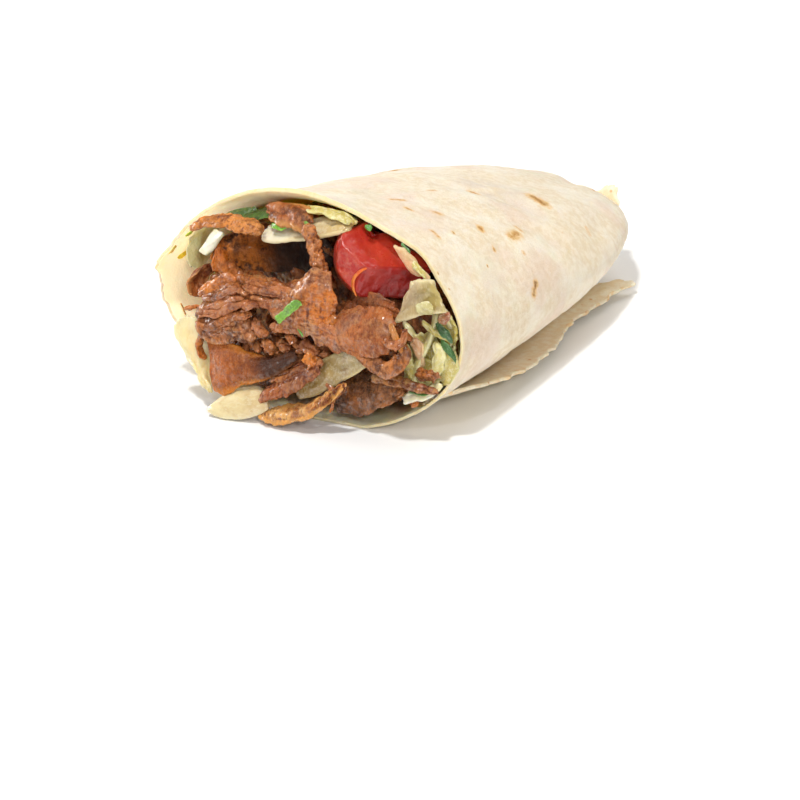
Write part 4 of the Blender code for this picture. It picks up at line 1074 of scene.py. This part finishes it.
def buildPackedMeat():
    source = bmesh.new()
    source.from_mesh(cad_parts["meat_core"].data)
    bmesh.ops.remove_doubles(source, verts=source.verts[:], dist=1e-6)
    piece = meshObject("packedMeat", source)
    evenOut(piece, packed["voxel"])
    applyModifiers(piece)
    moved = []
    for vert in piece.data.vertices:
        point = (vert.co - cutMiddle) / mm
        front = smooth(point.x, packed["frontDepth"], packed["frontEnd"])
        lift = packed["backRelief"] + (packed["frontRelief"] - packed["backRelief"]) * front
        ridge = 1 - 2 * abs(fine(61, point, packed["ridgeSize"], 2))
        lift *= fine(60, point, packed["lumpSize"]) + packed["ridgeShare"] * ridge
        moved.append(vert.co + vert.normal * lift * mm)
    moveVertices(piece, moved)
    return piece


# painted shade: the packed meat is darker than the slices, for the shade in the gaps between them
packedFinish = meatPaint(
    "packedMeat", (0.26, 0.10, 0.05), (0.26, 0.10, 0.05), deepDark, wet=0.7, paleShare=0.3,
)
dress(buildPackedMeat(), "meat", ["meat_core"], packedFinish)
print("packed meat behind the slices")

shreds = {
    "seed": 7, "fringe": 46, "loose": 70,
    "row": [(-3.6, 16.5, 14.2), (-4.2, 4, 16.4), (-3.8, -8.5, 18.6)], "spread": (27, 15), "level": 22,
}


def addShred(bm, place, size, seed, turn):
    # a small torn lump, longer than it is wide
    made = bmesh.ops.create_icosphere(bm, subdivisions=3, radius=1.0)["verts"]
    for vert in made:
        way = vert.co.normalized()
        swell = 1 + 0.35 * wobble(seed, *(1.6 * way)) + 0.22 * wobble(seed + 1, *(3.9 * way))
        stretched = Vector([w * s for w, s in zip(way, size)]) * swell
        vert.co = placed(Vector(place) + turn @ stretched)


def buildShreds(name, count, spot, sizes):
    rng = random.Random(shreds["seed"] + count)
    bm = bmesh.new()
    for i in range(count):
        place, way = spot(i, rng)
        size = [rng.uniform(*span) for span in sizes]
        turn = way.to_track_quat("X", "Z").to_matrix() @ Matrix.Rotation(rng.uniform(-1.2, 1.2), 3, "X")
        addShred(bm, place, size, 200 + 3 * i, turn)
    return meshObject(name, bm)


def fringeSpot(i, rng):
    t = i / (shreds["fringe"] - 1)
    place = blend(line(shreds["row"]), t) + Vector((rng.uniform(-1.6, 1.2), 0, rng.uniform(-1.6, 1.9)))
    return place, Vector((rng.uniform(-1, 0.2), rng.uniform(-1, 1), rng.uniform(-0.8, 0.8)))


def looseSpot(i, rng):
    angle = rng.uniform(0, math.tau)
    out = rng.uniform(0, 1) ** 0.5
    halfWidth, halfHeight = shreds["spread"]
    y, z = halfWidth * out * math.cos(angle), shreds["level"] + halfHeight * out * math.sin(angle)
    # near the top and near the far side they stand further back
    x = 0.6 + max(z - 28, 0) * 0.9 + max(y - 21, 0) * 1.1 + rng.uniform(-1.4, 0.6)
    return (x, y, z), Vector((rng.uniform(-0.3, 0.3), rng.uniform(-1, 1), rng.uniform(-0.6, 0.6)))


fringeFinish = meatPaint(
    "fringeMeat", (0.50, 0.21, 0.11), (0.56, 0.24, 0.12), brownDark, wet=1.0, paleShare=0.5, char=0.25
)
dress(
    buildShreds("crumblyFringe", shreds["fringe"], fringeSpot, ((0.9, 2.2), (0.6, 1.3), (0.5, 1.1))),
    "meat", ["meat_fringe"], fringeFinish,
)
looseFinish = meatPaint(
    "looseMeat", (0.38, 0.135, 0.05), (0.46, 0.18, 0.07), brownDark, wet=0.9, paleShare=0.35,
)
dress(
    buildShreds("looseShreds", shreds["loose"], looseSpot, ((1.4, 3.6), (0.7, 1.4), (0.6, 1.1))),
    "meat", [], looseFinish,
)
print("fringe and loose shreds scattered")

# the tomato

tomato = {
    "middle": (8.0, -20.5, 38.5), "half": (14.5, 14.0, 11.0), "voxel": 0.30,
    "cuts": [  # a place on each cut face, and the way it faces
        ((-3.0, -19.5, 38.9), (-0.98, -0.07, 0.16)), ((-3.0, -19.5, 38.9), (-0.70, -0.71, -0.13)),
        ((-3.0, -19.5, 38.9), (-0.28, -0.54, 0.79)), ((0, -20.6, 31.1), (-0.36, -0.13, -0.92)),
        ((0, -11.4, 31.7), (-0.61, 0.43, -0.66)), ((0, -7.9, 35.3), (-0.63, 0.74, -0.25)),
        ((0, -9.2, 41.2), (-0.34, 0.81, 0.47)), ((0, -14.4, 46.3), (0.07, 0.48, 0.87)),
        ((0, -23.2, 46.1), (0.56, -0.34, 0.76)), ((0, -29.3, 34.5), (0.14, -0.72, -0.68)),
    ],
    # the seed chamber: place, way, depth, width
    "notch": ((-1.5, -20.9, 47.6), (0.8, 0.5, -0.4), 2.2, 1.5),
    "relief": ((90, 0.30, 5.0), (91, 0.07, 1.5)),  # seed, depth, size of one lump
    "flesh": (0.42, 0.016, 0.010), "brightFlesh": (0.50, 0.034, 0.014), "sheenOnWetFlesh": (0.62, 0.15, 0.09),
    "skin": (0.30, 0.010, 0.008), "litSkin": (0.50, 0.035, 0.014),
    "edgeTones": ((0.72, 0.13, 0.02), (0.80, 0.26, 0.04)),
    "skinEdge": [
        (-3.2, -19.6, 39.0), (-3.7, -18.2, 38.2), (-4.0, -16.6, 36.3), (-4.0, -16.2, 33.9),
        (-4.0, -17.0, 32.2),
    ],
}


def buildTomato():
    bm = bmesh.new()
    bmesh.ops.create_icosphere(bm, subdivisions=5, radius=1.0)
    for vert in bm.verts:
        vert.co = Vector([m + h * c for m, h, c in zip(tomato["middle"], tomato["half"], vert.co)])
    for point, way in tomato["cuts"]:
        geometry = bm.verts[:] + bm.edges[:] + bm.faces[:]
        cut = bmesh.ops.bisect_plane(
            bm, geom=geometry, plane_co=Vector(point), plane_no=Vector(way), clear_outer=True
        )
        edges = [item for item in cut["geom_cut"] if isinstance(item, bmesh.types.BMEdge)]
        bmesh.ops.edgeloop_fill(bm, edges=edges)
    for vert in bm.verts:
        vert.co = placed(vert.co)
    bmesh.ops.recalc_face_normals(bm, faces=bm.faces[:])
    piece = meshObject("tomatoWedge", bm)
    evenOut(piece, tomato["voxel"])
    soft = piece.modifiers.new("soft", "SMOOTH")
    soft.factor, soft.iterations = 0.5, 2
    applyModifiers(piece)
    notch, notchWay, notchDepth, notchWidth = tomato["notch"]
    moved = []
    for vert in piece.data.vertices:
        point = (vert.co - cutMiddle) / mm
        lift = sum(depth * fine(seed, point, size) for seed, depth, size in tomato["relief"])
        away = (point - Vector(notch)).cross(Vector(notchWay)).length
        lift -= notchDepth * math.exp(-((away / notchWidth) ** 2))
        moved.append(placed(keptInside(point + vert.normal * lift)))
    moveVertices(piece, moved)
    return piece


def tomatoPaint():
    paint = Paint(
        "tomatoFlesh", Subsurface_Weight=0.15, Subsurface_Radius=(1.0, 0.2, 0.1), Subsurface_Scale=1.2 * mm,
        Coat_Roughness=0.12,
    )
    cloud, streak = paint.noise(4.5, 4, 0.6, shift=2), paint.noise(1.3, 4, 0.65, shift=5)
    paint.colour = paint.mix(cloud.ramp(0.35, 0.65), tomato["flesh"], tomato["brightFlesh"])
    spot, way = (Vector(part) for part in tomato["cuts"][1])  # the cut face that still has its skin
    way.normalize()
    height = paint.vectorMath("DOT_PRODUCT", {0: paint.place, 1: tuple(way)})
    skin = (height / mm - placed(spot).dot(way) / mm + (cloud - 0.5) * 0.6).ramp(-0.7, -0.3)
    # the upper left flesh is wet and lit: its paler streaks are partly its own colour and partly painted
    # light, and it also gets the coat and the bumps
    sheenOnWetFlesh = paint.near((-3.5, -14, 39), 7.5) * (1 - skin)
    paint.tint(sheenOnWetFlesh * streak.ramp(0.44, 0.66) * 0.6, tomato["sheenOnWetFlesh"])
    # the skin face is painted darker, partly its own colour and partly painted shade, since it faces down
    # away from the light; litSkin is painted light near its edge
    paint.tint(skin * 0.9, tomato["skin"])
    paint.tint(skin * paint.near((-3, -21, 38), 5) * 0.5, tomato["litSkin"])
    paint.set("Coat Weight", streak.ramp(0.4, 0.62) * 0.6 * sheenOnWetFlesh + 0.2)
    paint.bumps((cloud, 0.4), (streak * sheenOnWetFlesh, 0.5), (paint.noise(0.5, 3, 0.6, shift=3), 0.04))
    return paint.finish(0.36 - streak * 0.14)


dress(buildTomato(), "tomato", ["tomato_chunk"], tomatoPaint())
skinFinish = Paint("tomatoSkinEdge", Subsurface_Weight=0.2, Subsurface_Scale=1.0 * mm)
skinFinish.colour = skinFinish.mix(skinFinish.noise(1.5, 3).ramp(0.4, 0.6), *tomato["edgeTones"])
skinFinish.bumps((skinFinish.noise(0.8, 3), 0.1))
dress(
    slab(
        "tomatoSkinLip", tomato["skinEdge"], [(0.25, 0.5, 0.05)], 0.35, seed=95, ripple=0.05,
        tips=(0.3, 0.3), cell=0.22, relief=0.04, nibble=0.05,
    ),
    "tomato", [], skinFinish.finish(0.3),
)
print("tomato cut")

# onion, cabbage and parsley


def leafPaint(name, start, end, edge, veins=0.35, veinTone=(0.86, 0.82, 0.62), shine=0.4, through=0.3,
              stretch=(1, 1, 1), shade=(0.40, 0.32, 0.10), shadeShare=0.25):
    paint = Paint(
        name, Subsurface_Weight=through, Subsurface_Radius=(1.0, 0.8, 0.35), Subsurface_Scale=1.6 * mm,
        Coat_Roughness=0.12,
    )
    along, across = paint.attribute("along"), paint.attribute("across")
    cloud, streak = paint.noise(3.2, 3, 0.55, shift=2), paint.noise(0.8, 4, 0.6, stretch=stretch, shift=4)
    paint.colour = paint.mix((along + (cloud - 0.5) * 0.5).ramp(0.1, 0.9), start, end)
    paint.tint(cloud.ramp(0.5, 0.7) * shadeShare, shade)
    lines = (streak.ramp(0.50, 0.56) * streak.ramp(0.62, 0.56)) * veins
    paint.tint(lines, veinTone)
    rim = (across.most(0.0 - across) + (cloud - 0.5) * 0.3).ramp(0.72, 1.0)
    paint.tint(rim * 0.6, edge)
    paint.set("Coat Weight", cloud.ramp(0.35, 0.6) * shine)
    paint.bumps((cloud, 0.35), (streak, 0.14))
    return paint.finish(0.44 - cloud * 0.2)


whiteOnion = dict(
    start=(0.88, 0.80, 0.58), end=(0.82, 0.72, 0.42), edge=(0.86, 0.82, 0.70), through=0.35, shine=0.7,
)
shredShape = dict(
    reach=[(1.2, 0.9, 0.3)], thick=1.3, ragged=0.12, ripple=0.3, tips=(0.7, 0.6), relief=0.12,
)
paleCabbage = dict(start=(0.74, 0.66, 0.30), end=(0.60, 0.52, 0.16), edge=(0.80, 0.76, 0.46), veins=0.5)

greenPieces = {
    "cabbage_leaf_far": {
        "slot": "cabbage",
        "shape": dict(
            centre=[(8, 26.5, 41), (8.5, 30.5, 37.5), (9, 33.6, 32), (9, 34.6, 26)],
            reach=[(3.4, -0.6, 0), (4.2, -1, 0), (4.4, -1.2, 0), (3.6, -0.8, 0)], thick=1.0, ragged=0.12,
            ripple=0.2, seed=11, tips=(0.6, 0.6), relief=0.12,
        ),
        "paint": dict(
            start=(0.86, 0.84, 0.44), end=(0.84, 0.78, 0.40), edge=(0.90, 0.86, 0.56), veins=0.3,
            through=0.5, shade=(0.66, 0.62, 0.22),
        ),
    },
    "cabbage_leaf_low": {
        "slot": "cabbage",
        "shape": dict(
            centre=[(-5.0, 29.1, 20.3), (-5.9, 27.3, 15.8), (-6.7, 25.7, 11.5), (-7.6, 23.9, 7.2),
                    (-8.8, 21.5, 4.6)],
            reach=[(-0.4, 4.5, -1.3), (-0.5, 4.1, -1.0), (-0.7, 2.9, -0.2), (-0.6, 1.5, 0.5),
                   (-0.4, 0.6, 0.5)],
            thick=0.7, ripple=0.6, seed=12, tips=(0.9, 0.7), relief=0.1, ridges=0.25, ridgeSize=(14.0, 2.2),
        ),
        "paint": dict(
            start=(0.80, 0.66, 0.36), end=(0.78, 0.60, 0.28), edge=(0.86, 0.76, 0.50), veins=0.4,
            through=0.5, veinTone=(0.88, 0.80, 0.56), stretch=(1, 1, 5), shade=(0.70, 0.50, 0.20),
            shadeShare=0.4,
        ),
    },
    "cabbage_rib": {
        "slot": "onion",
        "shape": dict(
            centre=[(2.0, 28.2, 33.3), (2.4, 25.8, 35.9), (2.8, 23.3, 39.2)],
            reach=[(1.0, 1.6, -0.2), (1.4, 1.9, 0.2), (1.8, 2.4, -0.3)], thick=1.6, ragged=0.05,
            ripple=0.15, seed=13, tips=(0.95, 0.95), relief=0.07, nibble=0.2, square=True,
        ),
        "paint": dict(
            start=(0.90, 0.84, 0.66), end=(0.94, 0.90, 0.78), edge=(0.86, 0.82, 0.52), veins=0.2,
            through=0.5, shade=(0.80, 0.72, 0.44),
        ),
    },
    "onion_petal_top": {
        "slot": "onion",
        "shape": dict(
            centre=[(1.5, 10.5, 41), (1, 5, 41.8), (1, -2, 43.6), (1.5, -8, 45.2), (2.5, -13, 46.2)],
            reach=[(2.6, 0.3, 1.5)], thick=1.9, ragged=0.05, ripple=0.2, cup=0.7, seed=14, tips=(0.6, 0.8),
            relief=0.1, nibble=0.12,
        ),
        # painted shade: it darkens towards its far end, which runs in under the knobbly strip
        "paint": dict(
            start=(0.88, 0.80, 0.60), end=(0.60, 0.42, 0.16), edge=(0.80, 0.66, 0.36), shine=0.9,
            shade=(0.60, 0.42, 0.18),
        ),
    },
    "onion_petal_front": {
        "slot": "onion",
        "shape": dict(
            centre=[(-11.6, 20.4, 1.3), (-10.8, 17, 2.6), (-9.9, 12.7, 3.9), (-9.2, 7.9, 5.5),
                    (-9, 5.4, 5.4)],
            reach=[(0.3, 0.5, 0.4), (1.5, 1.2, 1.9), (1.7, 1.6, 2.8), (1.5, 1.5, 2.5), (1.0, 0.8, 1.2)],
            thick=1.4, ragged=0.05, ripple=0.2, cup=-0.8, seed=15, tips=(0.9, 0.9), relief=0.06,
            nibble=0.15, ridges=0.12, ridgeSize=(9.0, 1.1), edge=0.5,
        ),
        "paint": dict(
            start=(0.78, 0.66, 0.36), end=(0.66, 0.50, 0.26), edge=(0.82, 0.74, 0.50), shine=0.9, veins=0.5,
            veinTone=(0.80, 0.72, 0.48), stretch=(1, 4, 2), shade=(0.58, 0.40, 0.16), shadeShare=0.5,
        ),
    },
    "onion_petal_middle": {
        "slot": "onion",
        "shape": dict(
            centre=[(-6.5, -0.5, 7), (-6, -7, 12), (-6, -14, 16.4), (-6.5, -20.5, 19)],
            reach=[(0.6, 0.8, 1.6), (0.8, 1.0, 3.0), (0.8, 1.2, 2.8), (0.4, 0.6, 1.4)], thick=1.6,
            ragged=0.05, ripple=0.2, cup=0.6, seed=16, tips=(0.7, 0.6), relief=0.1, nibble=0.15,
        ),
        "paint": dict(
            start=(0.36, 0.22, 0.05), end=(0.50, 0.38, 0.18), edge=(0.58, 0.46, 0.20), shine=0.9,
            shade=(0.26, 0.13, 0.04), shadeShare=0.6,
        ),
    },
    "cabbage_chunk": {
        "slot": "onion",
        "shape": dict(
            centre=[(-4.6, -29.2, 33.0), (-3.6, -33.6, 34.6), (-2.8, -37.6, 35.2)],
            reach=[(0, -2.4, 5.0), (0, -0.3, 4.4), (0, 1.6, 3.4)], thick=1.5, ragged=0.05, ripple=0.5,
            cup=0.4, seed=17, tips=(1, 1), relief=0.10, nibble=0.35, edge=0.7, square=True,
        ),
        "paint": dict(
            start=(0.46, 0.33, 0.16), end=(0.46, 0.36, 0.12), edge=(0.80, 0.70, 0.44), shine=0.9,
            through=0.5, shade=(0.34, 0.20, 0.08), shadeShare=0.5, veinTone=(0.70, 0.60, 0.36),
            stretch=(1, 1, 4),
        ),
    },
    "cabbage_piece_tan": {
        "slot": "onion",
        "shape": dict(
            centre=[(-1.0, -27.6, 41.3), (-1.0, -30.8, 41.0)], reach=[(0, 2.3, 2.8), (0, 3.0, 3.0)],
            thick=1.3, ragged=0.08, ripple=0.3, seed=18, tips=(1, 1), relief=0.1, edge=0.7, square=True,
        ),
        "paint": dict(start=(0.70, 0.34, 0.17), end=(0.66, 0.42, 0.20), edge=(0.76, 0.60, 0.34), veins=0.2),
    },
    "cabbage_layer": {
        "slot": "cabbage",
        "shape": dict(
            centre=[(4, -36.2, 24), (25, -36, 21), (50, -35, 18.5), (72, -32, 16), (86, -28, 13)],
            reach=[(0, -0.8, 12), (0, -0.8, 10), (0, -1, 8), (0, -1, 7), (0, -1, 5)], thick=2.2,
            ragged=0.08, ripple=0.3, cup=-3.4, seed=19, tips=(0.9, 0.7), cell=0.9, relief=0.25,
        ),
        "paint": dict(start=(0.50, 0.42, 0.14), end=(0.56, 0.50, 0.22), edge=(0.60, 0.54, 0.26)),
    },
    "cabbage_strip_1": {
        "slot": "cabbage",
        "shape": dict(
            centre=[(0.5, -34.6, 30), (-1, -33.2, 24), (-1.5, -30.4, 18.5), (-1.5, -28.6, 13)], seed=20,
            **shredShape,
        ),
        "paint": paleCabbage,
    },
    "cabbage_strip_2": {
        "slot": "cabbage",
        "shape": dict(
            centre=[(1, -37.3, 24.5), (0, -35.6, 19), (-0.5, -33.8, 14), (-1, -31.6, 10.6)], seed=21,
            **shredShape,
        ),
        "paint": paleCabbage,
    },
    "cabbage_strip_3": {
        "slot": "cabbage",
        "shape": dict(centre=[(2.5, -28, 32.5), (2.5, -33, 29.6), (2, -36.6, 25.4)], seed=22, **shredShape),
        "paint": paleCabbage,
    },
    "cabbage_strip_4": {
        "slot": "cabbage",
        "shape": dict(centre=[(2.5, -24.5, 25), (2.5, -27.6, 20), (2, -27, 14)], seed=23, **shredShape),
        "paint": paleCabbage,
    },
    "onion_bit_low": {
        "slot": "onion",
        "shape": dict(
            centre=[(-3.6, -26.5, 9.4), (-3.6, -31, 11), (-3, -35.4, 13)], reach=[(1.0, 0.3, 0.9)],
            thick=1.2, ragged=0.08, ripple=0.15, seed=26, relief=0.1,
        ),
        "paint": whiteOnion,
    },
}

for name, settings in greenPieces.items():
    piece = slab(name.replace("_", ""), **settings["shape"])
    dress(piece, settings["slot"], [name], leafPaint(name, **settings["paint"]))
print("onion and cabbage laid")

shreddedCabbage = {  # more shreds along the near side: middle line, reach, thickness, finish
    "patchUpper": (
        [(1.5, -31.5, 23.6), (1.2, -35.5, 24.6), (0.5, -39.4, 25.4)], (0, 0.3, 4.0), 1.0, "leafy",
    ),
    "patchMiddle": (
        [(1.0, -26.1, 19.1), (0.8, -31, 19.8), (0.4, -35.6, 20.5)], (0, -0.2, 4.2), 1.0, "leafy",
    ),
    "patchSide": ([(0.2, -33.3, 18.2), (0.2, -36.5, 18.1), (-0.2, -39.2, 18)], (0, -1.2, 4.4), 1.0, "pale"),
    "patchLow": (
        [(-0.4, -25.7, 14.7), (-0.6, -30.4, 15.4), (-1, -34.8, 16.2)], (0, 0.2, 2.8), 1.0, "leafy",
    ),
    "petalTop": (
        [(-1.6, -32.3, 27.6), (-1.8, -35.5, 25.8), (-1.8, -38.7, 24.8)], (0, 0.3, 0.9), 1.0, "leafy",
    ),
    "pinkStrip": ([(-2, -29.7, 24), (-2.2, -31.2, 20.3), (-2, -30.9, 16.6)], (0.3, 0.9, -0.6), 0.9, "rosy"),
    "ribStrip": (
        [(-2.2, -35.9, 23.6), (-2.4, -36.4, 20.6), (-2.2, -34.6, 15.6)], (0, 1.5, 0.2), 1.0, "pale",
    ),
    "edgeStrip": (
        [(-1.4, -38.8, 21.7), (-1.6, -38.9, 18.6), (-1.5, -36.2, 13.6)], (0, 1.5, 0.3), 1.0, "leafy",
    ),
    "lowerFill": ([(-1.4, -26.4, 22), (-1.6, -27.6, 17.2), (-1.4, -28.8, 13)], (0, 1.5, 0.3), 1.0, "leafy"),
    "upperFill": ([(1, -31.5, 33.4), (1, -35.8, 30.3), (1, -37.4, 26.4)], (0.4, 0.9, 1.4), 1.1, "ribbed"),
    "paleBottom": (
        [(-3.4, -27, 9.6), (-3.4, -31.8, 11.7), (-3.2, -36.4, 13.5)], (0.6, -0.5, 1.3), 1.0, "ribbed",
    ),
    "facetPiece": ([(-5.4, -33.1, 32.7), (-5.2, -37, 32.8)], (0, 0.1, 1.4), 0.7, "glassy"),
    "innerLeaf": ([(-3.0, 31.4, 10.6), (-2.4, 28.4, 10.6), (-2, 25.4, 10.6)], (0, 1.2, 8.0), 1.0, "creamy"),
    "yellowEdge": (
        [(-1.8, -30.4, 41.2), (-1.8, -32.3, 39.7), (-1.8, -33.9, 38.2)], (0.4, 0.2, 0.6), 0.8, "leafy",
    ),
    "topLeaf": (
        [(3, -1, 48), (3, -5.9, 48.2), (3, -10.6, 47.8), (3, -13.6, 46.8)], (2.4, 0.2, 0.4), 0.9, "leafy",
    ),
    "redBit": (
        [(-1.6, -36.2, 29.4), (-1.6, -37.6, 29.6), (-1.4, -38.8, 29.4)], (0.4, -0.3, 1.2), 1.0, "rosyDark",
    ),
}
shredFinishes = {
    "leafy": leafPaint(
        "leafyShred", (0.62, 0.52, 0.16), (0.52, 0.42, 0.10), (0.74, 0.68, 0.32), veins=0.5, through=0.4,
    ),
    "pale": leafPaint(
        "paleShred", (0.76, 0.68, 0.30), (0.66, 0.57, 0.20), (0.84, 0.78, 0.46), veins=0.5, through=0.4,
    ),
    "glassy": leafPaint(
        "glassyShred", (0.62, 0.56, 0.28), (0.56, 0.48, 0.18), (0.70, 0.64, 0.36), shine=0.9,
    ),
    "ribbed": leafPaint(
        "ribbedShred", (0.84, 0.76, 0.50), (0.76, 0.66, 0.34), (0.90, 0.84, 0.62), shine=0.6,
    ),
    "creamy": leafPaint(
        "creamyLeaf", (0.88, 0.76, 0.42), (0.84, 0.68, 0.36), (0.90, 0.82, 0.56), shade=(0.74, 0.58, 0.26),
    ),
    "rosy": leafPaint("rosyShred", (0.66, 0.34, 0.16), (0.60, 0.40, 0.20), (0.72, 0.50, 0.26), shine=0.6),
    "rosyDark": leafPaint(
        "redShred", (0.40, 0.14, 0.06), (0.34, 0.10, 0.04), (0.46, 0.20, 0.08), shine=0.6,
    ),
}
for i, (name, (centre, reach, thick, finish)) in enumerate(shreddedCabbage.items()):
    piece = slab(
        name, centre, [reach], thick, seed=400 + i, ragged=0.2, ripple=0.5, cell=0.4, edge=0.5,
        relief=0.10, nibble=0.45, tips=(0.8, 0.7),
    )
    dress(piece, "cabbage", [], shredFinishes[finish])
print("shredded cabbage along the near side")

parsleySprigs = {  # middle line, reach, colour; those called parsley stand for a solid, the others don't
    "parsley_strip": (
        [(-9.6, 1, 25.6), (-9.8, -2.6, 28.8), (-9.8, -6, 31.8)], (0, 0.8, 0.7), (0.16, 0.36, 0.03),
    ),
    "parsley_top": ([(4, 19, 42.4), (4.4, 13, 44.2), (5, 7.5, 46)], (1.6, 0, 0.9), (0.07, 0.15, 0.02)),
    "parsley_on_onion": (
        [(-0.9, 6.4, 44.4), (-1, 4, 44.6), (-1, 1.8, 45.3)], (0.7, 0.1, 0.7), (0.16, 0.36, 0.03),
    ),
    "parsley_near": (
        [(-2.2, -36.6, 23.9), (-2.4, -38.6, 22.6), (-2, -40, 21)], (0.2, 0.5, 1.5), (0.05, 0.14, 0.03),
    ),
    "parsley_low": (
        [(-5, -29.4, 12.3), (-5, -32, 12.6), (-5, -34.4, 12.9)], (0.7, 0, 0.3), (0.06, 0.16, 0.03),
    ),
    "leafUpper": (
        [(-2, -35.6, 27.6), (-2.2, -37.8, 26.4), (-1.8, -39.4, 24.8)], (0.3, 0.4, 1.4), (0.04, 0.11, 0.03),
    ),
    "sliverTop": ([(1, 20, 44), (1.6, 16, 45.2), (2, 12, 46.4)], (0.9, 0, 0.5), (0.06, 0.12, 0.02)),
    "bitOnSlab": ([(-9.4, -4.6, 24.4), (-9.4, -5.6, 23.2)], (0.1, 0.4, 0.3), (0.08, 0.22, 0.03)),
    "bitInGap": ([(-6.4, 15, 20.6), (-6.4, 12.6, 21.4)], (0.2, 0.3, 0.5), (0.05, 0.13, 0.03)),
    "bitOnPetal": ([(-1, -2.6, 46.2), (-1, -3.8, 45.8)], (0.4, 0.1, 0.5), (0.16, 0.30, 0.03)),
    "bitByRim": ([(-0.5, -27.3, 44.4), (-0.5, -29.4, 43.2)], (0.2, 0, 0.4), (0.08, 0.20, 0.04)),
    "bitUnderTomato": ([(2, -16.4, 46.2), (2, -18.2, 46.2)], (0.4, 0.1, 0.6), (0.08, 0.24, 0.03)),
}


def parsleyPaint(name, tone):
    light = tuple(min(1.0, part * 1.9 + 0.03) for part in tone)
    return leafPaint(
        name, tone, tuple(part * 0.75 for part in tone), light, veins=0.5, veinTone=light, shine=0.5,
        through=0.15,
        shade=tuple(part * 0.4 for part in tone), shadeShare=0.5,
    )


for i, (name, (centre, reach, tone)) in enumerate(parsleySprigs.items()):
    piece = slab(
        name.replace("_", ""), centre, [reach], 0.45, seed=80 + i, ragged=0.2, ripple=0.15, cell=0.25,
        relief=0.08, reliefSize=1.2, nibble=0.45,
    )
    dress(piece, "parsley", [name] if name.startswith("parsley_") else [], parsleyPaint(name, tone))
print("parsley sprinkled")

wallBits = {  # scraps that stick to the inside of the far wall: two ends, half width, colour, slot
    "greenScrap": ((0.9, 31.6, 37.4), (1.7, 29.9, 38.8), 0.50, (0.42, 0.50, 0.03), "parsley"),
    "orangeScrap": ((4.9, 33.4, 35.0), (8.9, 35.2, 32.4), 0.6, (1.0, 0.50, 0.02), "meat_crisp"),
    "yellowScrap": ((4.5, 37.3, 29.9), (7.5, 36.5, 30.9), 0.7, (1.0, 0.66, 0.05), "meat_crisp"),
    "darkScrap": ((9.2, 38.1, 27.4), (11.5, 38.8, 25.2), 0.42, (0.05, 0.13, 0.02), "parsley"),
    "rimScrap": ((-0.9, 35.4, 33.2), (-0.4, 33.6, 35.4), 0.6, (0.86, 0.50, 0.12), "meat_crisp"),
    "brownScrap": ((5.3, 38.4, 18.3), (5.3, 37.3, 15.6), 0.28, (0.42, 0.20, 0.04), "meat_crisp"),
}
for i, (name, (start, end, half, tone, slotName)) in enumerate(wallBits.items()):
    start, end = Vector(start), Vector(end)
    side = (end - start).cross(Vector((0, -1, 0.2))).normalized() * half
    middle = (start + end) / 2 + Vector((0, -0.15, 0))
    piece = slab(
        name, [start, middle, end], [side], 0.35, seed=120 + i, ragged=0.3, ripple=0.08, cell=0.2,
        relief=0.05, nibble=0.2, tips=(0.5, 0.6),
    )
    dress(piece, slotName, [], parsleyPaint(name, tone))
print("scraps on the inner wall")

# stage and light

stage = {
    "floorSize": 4.0, "floorTone": (0.96, 0.96, 0.95), "target": (30, 0, 20),
    "world": 0.27, "worldTone": (1.0, 0.99, 0.97, 1.0),
}
lights = {  # sideways, upwards and towards the camera
    "key": {"from": (-0.18, 0.72, 0.67), "distance": 1.1, "size": 0.11, "watts": 7.0},
    "sparkle": {"from": (-0.30, 0.30, 0.90), "distance": 1.1, "size": 0.05, "watts": 1.3},
    "front": {"from": (0.16, 0.10, 1.0), "distance": 1.2, "size": 0.16, "watts": 3.7},
    "above": {"from": (0.3, 0.95, -0.05), "distance": 1.1, "size": 0.7, "watts": 3.4},
    "behindFar": {"from": (-0.85, 0.40, -0.35), "distance": 1.1, "size": 0.6, "watts": 6.0},
}


def buildStage():
    bm = bmesh.new()
    bmesh.ops.create_grid(bm, x_segments=1, y_segments=1, size=stage["floorSize"] / 2)
    floor = meshObject("floor", bm)
    paint = Paint("floorFinish", Specular_IOR_Level=0.2)
    duller = tuple(part * 0.99 for part in stage["floorTone"])
    paint.colour = paint.mix(paint.noise(60, 2), stage["floorTone"], duller)
    floor.data.materials.append(paint.finish(0.9))
    target = placed(stage["target"])
    for name, settings in lights.items():
        sideways, upwards, towards = settings["from"]
        way = (cameraRight * sideways + cameraUp * upwards + cameraBack * towards).normalized()
        lamp = bpy.data.lights.new(name, "AREA")
        lamp.shape, lamp.size, lamp.energy = "DISK", settings["size"], settings["watts"]
        light = addObject(name, lamp)
        turned = way.to_track_quat("Z", "Y").to_matrix().to_4x4()
        light.matrix_world = Matrix.Translation(target + way * settings["distance"]) @ turned
    world = bpy.data.worlds.new("softWhite")
    world.use_nodes = True
    background = world.node_tree.nodes["Background"].inputs
    background["Color"].default_value = stage["worldTone"]
    background["Strength"].default_value = stage["world"]
    bpy.context.scene.world = world
    bpy.context.scene.view_settings.view_transform = "Standard"


buildStage()
print("stage lit")
